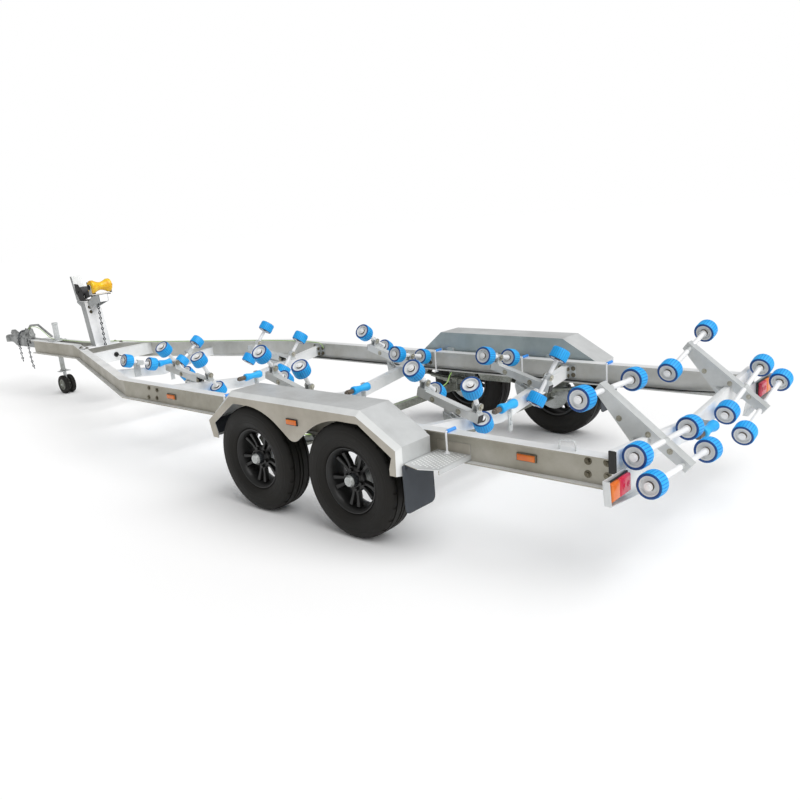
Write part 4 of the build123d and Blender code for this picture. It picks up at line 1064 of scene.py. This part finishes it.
# %% [markdown]
# ## Rear cross-beam and lamp trays
# A shallow V of box beam closes the back. Under each end hangs a folded tray for the lamp, with
# lips along its lower and outer edges.

# %% Rear cross-beam and lamp trays
REAR_FACE = -1846.0
BEAM_REACH = 905.0


def beam_top(y):
    return 560 + 0.095 * abs(y)


outline = [(y, beam_top(y)) for y in (-BEAM_REACH, 0, BEAM_REACH)]
outline += [(y, beam_top(y) - 110) for y in (BEAM_REACH, 0, -BEAM_REACH)]
beam = soften(plate([at(REAR_FACE, y, z) for y, z in outline], Vector((33 * MM, 0, 0))), 3, 2)
# Sideways faces take the grey copy, painted shade; the rest the near-white copy, a painted highlight.
dress(beam, beam_painted_highlight, beam_side_painted_shade, test=sideways)
finish(smooth(beam, 40), "rear_cross_beam", "chassis", (), ["rear_crossmember"])

TRAY_X = -1877.0
trays = []
for side in (1, -1):
    corners = ((760, 560), (1083, 570), (1070, 452), (650, 404))
    face = plate([at(TRAY_X, side * y, z) for y, z in corners], Vector((4 * MM, 0, 0)))
    low, outer = [
        plate([at(TRAY_X, side * y, z) for y, z in lip], Vector((-30 * MM, 0, 0)))
        for lip in (
            ((650, 404), (1070, 452), (1069, 456), (650, 408)),
            ((1083, 570), (1070, 452), (1066, 452), (1079, 570)),
        )
    ]
    arm = block((24, 5, 50), at(-1865, side * 890, 530))
    trays += [soften(piece, 1, 1) for piece in (face, low, outer, arm)]
finish(joined(trays), "folded_lamp_trays", "chassis", [cradle_bright], ["lamp_trays"])

# %% [markdown]
# ## Keel roller brackets
# A slotted strap is bolted to the back of each cross-member, so that the roller's height can be
# set. A cheek stands out from it and carries the roller's rod. The strap is laid out as two bars
# with bridges between its slots.

# %% Keel roller brackets
CHEEK_Y = -86.5
# roller's place and height, face that the strap lies on, how far the rod stands out
KEEL_BRACKETS = (
    (3220.0, 509.0, 3280.0, 6), (1890.0, 484.0, 1965.0, 60), (617.0, 490.0, 680.0, 60),
    (-671.0, 496.0, -624.0, 60), (-1915.0, 507.0, REAR_FACE, 60),
)
# bridges between the slots: middle over the strap's own middle, and height
BRIDGES = ((-89.5, 33), (-46, 10), (0, 38), (73.5, 65))
STRAP_DROP = 86
parts = []
for x, z, face, bush in KEEL_BRACKETS:
    parts.append(block((abs(face - x) + 20, 6, 40), at((x - 20 + face) / 2, CHEEK_Y, z)))
    for offset in (-12.5, 12.5):
        parts.append(block((6, 15, 212), at(face - 3, CHEEK_Y + offset, z - STRAP_DROP)))
    for middle, height in BRIDGES:
        parts.append(block((6, 10, height), at(face - 3, CHEEK_Y, z - STRAP_DROP + middle)))
    parts.append(rod(at(x, CHEEK_Y - 12, z), at(x, 82.5 + bush + 10, z), 12, 20))
    for height in (-56, 28):
        parts.append(bolt_on(at(face - 6, CHEEK_Y, z - STRAP_DROP + height), (-1, 0, 0), 20, 8))
straps = smooth(joined(parts), 40)
finish(straps, "keel_straps", "chassis", [bracket_zinc], ["keel_brackets"])

# %% [markdown]
# ## Winch post
# The post is a leaning box section on a broad foot. A folded arm, open below, reaches back to the
# bow roller; its ears stand on a cross plate, and the chain's bar crosses it inside.

# %% Winch post and bow arm
LEAN = tan(radians(10))
POST_X = 4430.0
FOOT_TOP = 615.0
POST_HIGH = 460.0
foot = soften(block((150, 430, 10), at(POST_X, 0, FOOT_TOP - 5)), 2, 1)
column = plate(
    [at(POST_X + x, y, FOOT_TOP) for x, y in ((-50, -85), (50, -85), (50, 85), (-50, 85))],
    mm_point(POST_HIGH * LEAN, 0, POST_HIGH),
)
soften(column, 6, 2)
top = soften(block((120, 190, 8), at(4511, 0, 1079)), 2, 1)
ARM_VIEW = ((4200, 1152), (4200, 1076), (4451, 1005), (4461, 1075), (4300, 1152))
sides = [soften(thick(ARM_VIEW, side * 45.5, 5), 1, 1) for side in (1, -1)]
# each skin: how far it is pushed to give it a thickness, then its rear, front and heights
SKINS = (
    ((0, 0, -5), (4200, 1152), (4300, 1152)), ((-2, 0, -5), (4300, 1152), (4461, 1075)),
    ((5, 0, 0), (4200, 1152), (4200, 1076)),
)
skins = []
for push, (rear, rear_z), (front, front_z) in SKINS:
    corners = ((rear, -48, rear_z), (rear, 48, rear_z), (front, 48, front_z), (front, -48, front_z))
    skins.append(plate([at(*corner) for corner in corners], mm_point(*push)))
EAR_VIEW = ((-26, 1155), (26, 1155), (22, 1240), (12, 1254), (-12, 1254), (-22, 1240))
ears = []
for side in (1, -1):
    ear = thick([(BOW_X + x, z) for x, z in EAR_VIEW], side * 110, 6)
    ears.append(soften(ear, 1.5, 1))
ears.append(soften(block((60, 226, 6), at(BOW_X, 0, 1155)), 1.5, 1))
ears.append(rod(at(BOW_X, -119, BOW_Z), at(BOW_X, 119, BOW_Z), 12, 20))
bar = rod(at(4345, -44, 1116), at(4345, 44, 1116), 6, 16)
post = joined([foot, column, top, *sides, *skins, *ears, bar])
# The post's faces that do not look sideways take the white copy, a painted highlight, and its flanks the grey
# copy, painted shade.
dress(post, post_painted_highlight, beam_side_painted_shade, test=sideways)
finish(smooth(post, 40), "leaning_winch_post", "chassis", (), ["winch_post"])

# %% [markdown]
# ## Lamps
# Each tail lamp is a black base with an amber lens outboard and a red one inboard. The side markers
# are amber lenses in dark bezels, on the rails and in the middle of each mudguard.

# %% Tail lamps and markers
LAMP_X = TRAY_X
WEB_FACE = 873.0


def lens(size, centre, inset, lift):
    """A lens block: its outer face (away from the body) drawn in and lifted, then softened."""
    piece = block(size, (0, 0, 0))
    axis = 0 if lift.x else 1
    sign = 1 if lift[axis] > 0 else -1
    raise_faces(piece, lambda c, n: n[axis] * sign > 0.8, inset, lift)
    soften(piece, 2.5, 2)
    piece.location = centre
    return smooth(piece, 40)


LAMP_Y = 967.0
LAMP_Z = 508.0
lamp_parts = []
for side in (1, -1):
    base = soften(block((12, 196, 96), at(LAMP_X - 6, side * LAMP_Y, LAMP_Z)), 6, 3)
    lamp_parts.append(dress(base, black_plastic))
    for width, offset, finish_of in ((74, 52, amber_lens), (102, -38, red_lens)):
        place = at(LAMP_X - 17, side * (LAMP_Y + offset), LAMP_Z)
        lamp_parts.append(dress(lens((14, width, 84), place, 7, Vector((-6, 0, 0))), finish_of))
    for offset in (-62, -20):
        place = facing(at(LAMP_X - 29, side * (LAMP_Y + offset), LAMP_Z), (-1, 0, 0)) @ UPRIGHT
        round_lens = placed(turned(((0.1, -3), (15, -3), (15, 2), (11, 4), (0.1, 5)), 24), place)
        lamp_parts.append(dress(round_lens, red_lens))
finish(smooth(joined(lamp_parts), 40), "tail_lamps", "chassis", (), ["lamps"])

# along the rail or guard, out to the left, up, length, height, depth
MARKERS = (
    (-1368.0, WEB_FACE, 533.0, 112.0, 42.0, 18.0),
    (1737.0, WEB_FACE, 528.0, 112.0, 42.0, 18.0),
    (-10.0, 1183.0, 627.0, 96.0, 38.0, 16.0),
)
marker_parts = []
for x, y, z, length, height, depth in MARKERS:
    for side in (1, -1):
        bezel = soften(block((length, depth * 0.5, height), at(x, side * (y + depth * 0.25), z)), 3, 2)
        dress(bezel, black_plastic if y > 900 else dark_bolt)
        amber = lens(
            (length - 12, depth * 0.6, height - 10), at(x, side * (y + depth * 0.5), z), 5,
            Vector((0, side * 3.0, 0)),
        )
        marker_parts += [bezel, dress(amber, amber_lens)]
finish(smooth(joined(marker_parts), 40), "side_markers", "chassis")

# %% [markdown]
# ## End caps
# Black plastic plugs close the open ends of the rear cross-beam and of each cradle's beam.

# %% End caps
CAP_Z = 591.0
caps = [soften(block((38, 5, 106), at(-1833, side * 907.5, CAP_Z)), 2, 2) for side in (1, -1)]
finish(joined(caps), "rear_beam_caps", "chassis", [black_plastic])

# beam's rear and front end, ahead of the axles
BEAM_ENDS = {"front": (2024.0, 2460.0), "second": (520.0, 1000.0), "middle": (-745.0, -300.0)}
cradle_frames = {}
for name, spacing, front, rear, _, _ in ROCKERS:
    slope = atan2(front[1] - rear[1], front[0] - rear[0])
    middle_x = (front[0] + rear[0]) / 2 + ROCKER_DROP * sin(slope)
    middle_z = (front[1] + rear[1]) / 2 - ROCKER_DROP * cos(slope)
    half = hypot(front[0] - rear[0], front[1] - rear[1]) / 2
    ends = [(x - middle_x) / cos(slope) for x in BEAM_ENDS[name]]
    for side in (1, -1):
        place = shift(middle_x, side * spacing, middle_z) @ Matrix.Rotation(-slope, 4, "Y")
        cradle_frames[f"{name}_cradle_{side_name(side)}_set"] = (place, half, ends)

for body, (place, half, ends) in cradle_frames.items():
    parts = []
    for x, sign in zip(ends, (-1, 1)):
        plug = soften(block((5, 47, 47), mm_point(x + sign * 2.5, 0, 0)), 2, 2)
        parts.append(dress(plug, black_plastic))
    for station in (half, -half):
        for sign in (1, -1):
            head = bolt_on(mm_point(station + sign * 24.9, 0, ROCKER_DROP), (sign, 0, 0), 22, 8)
            parts.append(dress(head, zinc_bolt))
    for x in (half * 0.55, -half * 0.45):
        for sign in (1, -1):
            head = bolt_on(mm_point(x, sign * 25, -4), (0, sign, 0), 18, 7)
            parts.append(dress(head, zinc_bolt))
    group = placed(joined(parts), place)
    finish(group, body.replace("_set", "_fixings"), body)

for side in (1, -1):
    parts = []
    for x, z in ((-1700, 690), (-1845, 628), (-1950, 560)):
        for face in (1, -1):
            parts.append(bolt_on(at(x, side * 540 + face * 30, z), (0, face, 0), 15, 6))
    cradle = f"rear_cradle_{side_name(side)}"
    finish(joined(parts), f"{cradle}_fixings", f"{cradle}_set", [zinc_bolt])

# %% [markdown]
# ## Rail fixings
# Square-shouldered U-bolts go over the rails, each with a blue sleeve where it crosses the flange.
# Bolts hold the cross-members through the webs, and a loop of bar makes a tie-down near the back.

# %% Rail fixings
RAIL_Y = 870.5
RAIL_TOP = 605.0
# side, place along the rail, how low the outer and the inner leg reach
U_BOLTS = (
    (-1, 569.0, 445.0, 445.0), (-1, -251.0, 445.0, 445.0), (-1, -925.0, 497.0, 445.0),
    (1, 1011.0, 445.0, 445.0), (1, -908.0, 497.0, 445.0),
)
bars, sleeves = [], []
for side, x, outer_low, inner_low in U_BOLTS:
    top = RAIL_TOP + 8
    outer, inner = side * (RAIL_Y + 44), side * (RAIL_Y - 44)
    bars.append(rod(at(x, outer, outer_low), at(x, outer, top + 2), 5.5))
    bars.append(rod(at(x, inner, inner_low), at(x, inner, top + 2), 5.5))
    bars.append(rod(at(x, outer, top), at(x, inner, top), 5.5))
    sleeves.append(rod(at(x, side * (RAIL_Y + 36), top), at(x, side * (RAIL_Y - 36), top), 9.5, 16))
    for y, low in ((outer, outer_low), (inner, inner_low)):
        bars.append(bolt_on(at(x, y, low), UP, 18, 9))
finish(joined(bars), "u_bolts", "chassis", [rod_bright])
finish(joined(sleeves), "u_bolt_sleeves", "chassis", [blue_sleeve])

# bolts through the webs: along, height
WEB_BOLTS = (
    (2048, 565), (1936, 559), (2071, 490), (1955, 494),
    (-1695, 567), (-1693, 504), (-1790, 573), (-1790, 510),
)
heads = []
for side in (1, -1):
    for x, z in WEB_BOLTS:
        for face in (1, -1):
            heads.append(bolt_on(at(x, side * RAIL_Y + face * 2.5, z), (0, face, 0), 19, 8))
finish(joined(heads), "web_bolts", "chassis", [dark_bolt])

LOOP_VIEW = ((-1634, 605), (-1634, 640), (-1622, 652), (-1560, 652), (-1548, 640), (-1548, 605))
loops = [bent([(x, side * RAIL_Y, z) for x, z in LOOP_VIEW], 5) for side in (1, -1)]
finish(joined(loops), "tie_down_loops", "chassis", [bracket_zinc])

# %% [markdown]
# Angle plates bolt the arms of each V-shaped cross-member to the webs of the rails.

# %% Angle plates
plates = []
heads = []
for x in (1990.0, 705.0, -599.0):
    for side in (1, -1):
        for ahead in (1, -1):
            plates.append(soften(block((46, 5, 92), at(x + ahead * 48, side * 865, 528)), 1.5, 1))
            plates.append(soften(block((5, 60, 78), at(x + ahead * 27.5, side * 836, 527)), 1.5, 1))
            for z in (505, 552):
                heads.append(bolt_on(at(x + ahead * 52, side * 862.5, z), (0, -side, 0), 17, 7))
                heads.append(bolt_on(at(x + ahead * 30, side * 828, z), (ahead, 0, 0), 15, 7))
plates = dress(joined(plates), bracket_zinc)
heads = dress(joined(heads), dark_bolt)
finish(joined([plates, heads]), "arm_angle_plates", "chassis")

# %% [markdown]
# ## Brake lines and wiring
# A thin green line feeds the brakes from the coupling: it follows the handbrake lever down to the
# drawbar, runs along the right rail, and crosses each axle. The lamps' black wiring lies in the
# bottom flange of the right rail, pinched by clips.

# %% Brake lines and wiring
SWEEP = tan(radians(18.3))


def rail_line(x, inboard):
    """How far out the rail's middle is at this place, less a distance inboard."""
    return RAIL_Y - max(0.0, x - 2420.0) * SWEEP - inboard


feed = bent(
    [
        (6150, 14, 706), (6070, 16, 742), (5880, 16, 755), (5700, 16, 690), (5570, 16, 627),
        (5500, -20, 612), (5200, -44, 610), (4830, -44, 610), (4620, -rail_line(4620, 30), 622),
        (4260, -rail_line(4260, 30), 622), (4080, -rail_line(4080, 30), 610),
        (3300, -rail_line(3300, 30), 610), (2500, -rail_line(2500, 30), 610), (2000, -842, 610),
        (1900, -830, 600), (1890, -826, 560),
    ],
    3.6,
)
lines = [feed]
for end in (1, -1):
    x = end * AXLE_HALF
    lines.append(
        bent(
            [
                (x + 8, 826, 446), (x + 8, 800, 430), (x + 8, 770, 372), (x + 6, 640, 355),
                (x, 200, 354), (x, -200, 354), (x + 6, -640, 355), (x + 8, -770, 372),
                (x + 8, -800, 430), (x + 8, -826, 446),
            ],
            4.5,
        )
    )
finish(joined(lines), "brake_lines", "chassis", [brake_line])

wires = []
for wave in (0, 6):
    points = [(x, -(846 - wave + 5 * (x // 290 % 2)), 468 + wave / 2) for x in range(2250, -1750, -290)]
    wires.append(bent(points + [(-1780, -800, 500)], 4.2))
LOOSE_WIRE = ((4018, 66, 548), (3980, 66, 546), (3960, 20, 520), (3990, -60, 500), (4016, -90, 505))
wires.append(bent(LOOSE_WIRE, 4))
grommet = turned(((4, 0), (25, 0), (25, 5), (20, 8), (8, 8), (4, 6)), 32)
grommet.matrix_world = facing(at(4020, 66, 548), (-1, 0, 0)) @ UPRIGHT
wires.append(grommet)
finish(smooth(joined(wires), 50), "lamp_wiring", "chassis", [black_plastic])

# %% [markdown]
# ## Mudguards, steps and flaps
# Pressed dimples make the steps safe to stand on: each is a low dome, repeated over the step. The
# flaps are sheet rubber with rounded lower corners.

# %% Dimples on the steps
pick_nothing()
bpy.ops.mesh.primitive_uv_sphere_add(segments=10, ring_count=6, radius=0.006)
dimple = bpy.context.object
bpy.ops.object.mode_set(mode="EDIT")
bpy.ops.mesh.select_all(action="SELECT")
bpy.ops.mesh.bisect(plane_co=(0, 0, 0.0005), plane_no=(0, 0, 1), clear_inner=True)
bpy.ops.mesh.select_all(action="SELECT")
bpy.ops.transform.resize(value=(1, 1, 0.42), center_override=(0, 0, 0))
bpy.ops.object.mode_set(mode="OBJECT")
places = []
for side in (1, -1):
    for row in range(9):
        for column in range(11):
            x, y = -1008 + row * 21, 896 + column * 22 + (11 if row % 2 else 0)
            if y < 1128:
                places.append(shift(x, side * y, 494.9))
# The dimples take the bevel's near-white copy of aluminium, a painted highlight on each dome.
finish(
    smooth(joined(copies(dimple, places)), 60), "step_dimples", "chassis", [bevel_painted_highlight],
)

# %% Mudflaps
FLAP_CORNER = (
    (-120, 491), (-120, 262), (-116, 244), (-106, 232), (-90, 226), (90, 226), (106, 232), (116, 244),
    (120, 262), (120, 491),
)
FRONT_FLAP = ((826.3, 936, 535), (794.3, 936, 445), (794.3, 1149, 445), (826.3, 1149, 535))
flaps = []
for side in (1, -1):
    middle = side * 1055
    flap = plate([at(-823, middle + y, z) for y, z in FLAP_CORNER], Vector((6 * MM, 0, 0)))
    flaps.append(soften(flap, 1.2, 1))
    low = plate([at(x, side * y, z) for x, y, z in FRONT_FLAP], Vector((-5 * MM, 0, 0)))
    flaps.append(soften(low, 1.0, 1))
    for y in (-85, 0, 85):
        flaps.append(bolt_on(at(-823, middle + y, 474), (-1, 0, 0), 14, 5))
finish(smooth(joined(flaps), 40), "mudflaps_rounded", "chassis", [flap_rubber], ["mudflaps"])

# %% [markdown]
# ## Winch
# The post carries the winch on a folded shelf, with a tall pale guard in front of it. Webbing is
# wound on the drum, a toothed wheel drives it, and a grip turns on the crank.

# %% Winch fittings
DRUM_X = 4581.1
DRUM_Z = 1178.0
shelf = soften(thick(((4556, 1081), (4690, 1081), (4694, 1060), (4600, 1012), (4549, 1012)), 0, 104), 3, 2)
# The shelf takes the grey side copy all over, painted shade.
dress(shelf, beam_side_painted_shade)
guard = soften(thick(((4652, 1084), (4690, 1084), (4752, 1334), (4712, 1334)), 0, 106), 3, 2)
# The guard's sideways faces take the grey copy, painted shade, and the rest the near-white copy, a painted
# highlight.
dress(guard, beam_painted_highlight, beam_side_painted_shade, test=sideways)
finish(joined([shelf, guard]), "winch_guard", "chassis")

post_heads = []
for x in (4368, 4492):
    for y in (-192, 192):
        post_heads.append(bolt_on(at(x, y, 615), UP, 22, 9))
for y, z in ((44, 1018), (40, 968)):
    x = POST_X - 50 + (z - FOOT_TOP) * LEAN
    post_heads.append(bolt_on(at(x, y, z), (-1, 0, 0.17), 18, 6))
finish(joined(post_heads), "winch_post_bolts", "chassis", [dark_bolt])

drum = turned(
    (
        (0.1, -110), (8, -110), (8, -60), (52, -60), (52, -56), (42, -55), (42, 55), (52, 56), (52, 60),
        (8, 60), (8, 79), (0.1, 79),
    ),
    40,
)
crank = soften(block((230, 8, 24), mm_point(95, -106, 0)), 3, 2)
handle = rod(mm_point(195, -108, 0), mm_point(195, -190, 0), 14, 20)
drum = smooth(placed(joined([drum, crank, handle]), shift(DRUM_X, 0, DRUM_Z)), 40)
finish(drum, "drum_and_crank", "winch_spool", [winch_black], ["winch_drum"])

wound = turned(((43, -54), (45, -54), (47, -30), (48.5, 0), (47, 30), (45, 54), (43, 54)), 48)
wound = placed(wound, shift(DRUM_X, 0, DRUM_Z))
finish(smooth(wound, 50), "wound_webbing", "winch_spool", [webbing])

teeth = []
for tooth in range(48):
    radius = 46 if tooth % 4 in (0, 1) else 40
    angle = radians(tooth * 7.5)
    teeth.append(mm_point(radius * cos(angle), -84, radius * sin(angle)))
gear = plate(teeth, Vector((0, 0.008, 0)))
gear.matrix_world = shift(DRUM_X, 0, DRUM_Z)
soften(gear, 0.8, 1, 50)
dress(gear, zinc_bolt)
grip = turned(
    (
        (14.1, -188), (17, -188), (19, -184), (19, -180), (17.5, -178), (17.5, -158), (18.4, -150),
        (17.5, -142), (17.5, -122), (19, -120), (19, -114), (14.1, -112),
    ),
    28,
)
grip.matrix_world = shift(DRUM_X + 195, 0, DRUM_Z)
dress(grip, black_plastic)
finish(smooth(joined([gear, grip]), 40), "winch_gear_and_grip", "winch_spool")

# %% [markdown]
# Nuts close the bow roller's rod and hold its ears to the arm.

# %% Bow roller fixings
parts = []
for side in (1, -1):
    parts.append(bolt_on(at(BOW_X, side * 119, BOW_Z), (0, side, 0), 30, 10))
    for x in (-18, 18):
        parts.append(bolt_on(at(BOW_X + x, side * 84, 1152), (0, 0, -1), 20, 9, washer=False))
cheek = thick(((4262, 1152), (4500, 1100), (4490, 1160), (4380, 1205), (4262, 1180)), 52, 6)
parts.append(soften(cheek, 1.5, 1))
finish(joined(parts), "bow_roller_fixings", "chassis", [winch_black])

# %% [markdown]
# ## Coupling and jockey wheel
# Bolts go through the drawbar, a latch lies over the ball socket, and a shackle hangs the chains.
# The twin jockey wheels are solid black rubber on grey hubs.

# %% Coupling fittings
parts = []
for x, z in ((6120, 640), (6120, 560), (6190, 640), (6190, 560)):
    for side in (1, -1):
        parts.append(bolt_on(at(x, side * (37.5 if z < 600 else 31.5), z), (0, side, 0), 24, 12))
latch = thick(((6460, 655), (6560, 690), (6640, 684), (6690, 640), (6660, 628), (6560, 640)), 0, 20)
parts.append(soften(latch, 4, 3))
for x, y, z in ((6120, 48, 706), (6330, -16, 512)):
    bow_view = ((-16, -6), (-20, 12), (0, 26), (20, 12), (16, -6))
    parts.append(bent([(x + along, y, z + up) for along, up in bow_view], 5))
finish(smooth(joined(parts), 40), "coupling_fittings", "chassis", [coupling_grey])

# %% Jockey wheel
JOCKEY_X = 5410.0
JOCKEY_R = 105.0
SLEEVE_X = 5440.0
parts = []
for side in (1, -1):
    tread_rows = ((62, -20), (70, -23.5), (90, -24.5), (98, -21), (103, -14), (105, -5), (102.5, -2))
    tread = dress(turned(both_ways(tread_rows) + [(60, 0)], 56), tyre_rubber)
    hub_rows = ((8.3, -24), (22, -24), (25, -20), (27, -10), (48, -9), (54, -19), (61, -20))
    hub = dress(turned(both_ways(hub_rows), 48), axle_zinc)
    parts.append(placed(joined([tread, hub]), shift(JOCKEY_X, side * 37.5, JOCKEY_R)))
finish(smooth(joined(parts), 40), "twin_jockey_wheels", "jockey_roller", (), ["jockey_wheel"])
fork = [
    soften(block((80, 124, 8), at(5425, 0, 255)), 2, 1),
    soften(thick(((5395, 259), (5455, 259), (5430, 95), (5390, 95)), 0, 16), 2, 2),
    rod(at(JOCKEY_X, -70, JOCKEY_R), at(JOCKEY_X, 70, JOCKEY_R), 8, 20),
    rod(at(SLEEVE_X, 0, 252), at(SLEEVE_X, 0, 306), 8, 20),
]
fork = smooth(joined(fork), 40)
finish(fork, "central_jockey_fork", "jockey_caster", [bracket_zinc], ["jockey_fork"])

sleeve = turned(
    (
        (26, 440), (30, 440), (30, 800), (33, 802), (33, 810), (28, 814), (0.1, 815), (0.1, 804), (26, 800),
    ),
    40,
)
sleeve.matrix_world = shift(SLEEVE_X, 0, 0) @ UPRIGHT
clamp = soften(block((130, 160, 8), at(SLEEVE_X, 0, 609)), 2, 1)
tube_piece = smooth(joined([sleeve, clamp]), 40)
finish(tube_piece, "jockey_sleeve", "chassis", [bracket_zinc], ["jockey_tube"])

tube_parts = []
for z in (797, 660, 448):
    band = turned(both_ways(((30.2, -5), (33, -5), (34, -3))), 36)
    tube_parts.append(placed(band, shift(SLEEVE_X, 0, z) @ UPRIGHT))
for x, y in ((5388, 66), (5388, -66), (5492, 66), (5492, -66)):
    tube_parts.append(bolt_on(at(x, y, 613), UP, 17, 8))
finish(smooth(joined(tube_parts), 40), "jockey_clamp_fittings", "chassis", [bracket_zinc])

# %% [markdown]
# ## Studio
# A plain pale floor and soft light. The floor is a stage, not part of the trailer. The world is
# white to the camera, and dimmer as a light; a wide sun from behind and above makes up the rest, so
# upper and rear faces come out bright and the flanks stay grey.

# %% Floor, light and background
pick_nothing()
bpy.ops.mesh.primitive_plane_add(size=120, location=(0, 0, 0))
floor = bpy.context.object
floor.name = "studio_floor"
floor_material, _, floor_shader, _ = new_finish("studio_floor_paper")
floor_shader.inputs["Base Color"].default_value = colour("#FCFCFC")
floor_shader.inputs["Roughness"].default_value = 1.0
floor_shader.inputs["Specular IOR Level"].default_value = 0.0
floor.data.materials.append(floor_material)

world = bpy.data.worlds.new("studio")
bpy.context.scene.world = world
world.use_nodes = True
sky = world.node_tree
sky.nodes.clear()
path = add_node(sky, "ShaderNodeLightPath")
SKY_LIGHT = 0.42
lit = add_node(sky, "ShaderNodeBackground", None, Color=(1, 1, 1, 1), Strength=SKY_LIGHT)
shown = add_node(sky, "ShaderNodeBackground", None, Color=(1, 1, 1, 1), Strength=1.0)
mixed = add_node(
    sky, "ShaderNodeMixShader", None, Fac=path.outputs["Is Camera Ray"], _1=lit.outputs["Background"],
    _2=shown.outputs["Background"],
)
add_node(sky, "ShaderNodeOutputWorld", None, Surface=mixed.outputs["Shader"])

SUN_HEIGHT = radians(52)
SUN_FROM = radians(188)
sun_data = bpy.data.lights.new("high_sun", "SUN")
sun_data.energy = (1.05 - SKY_LIGHT) * pi / sin(SUN_HEIGHT)
sun_data.angle = radians(60)
sun = bpy.data.objects.new("high_sun", sun_data)
bpy.context.scene.collection.objects.link(sun)
sun_way = Vector((cos(SUN_FROM) * cos(SUN_HEIGHT), sin(SUN_FROM) * cos(SUN_HEIGHT), sin(SUN_HEIGHT)))
sun.rotation_euler = sun_way.to_track_quat("Z", "Y").to_euler()

scene = bpy.context.scene
scene.view_settings.view_transform = "Standard"
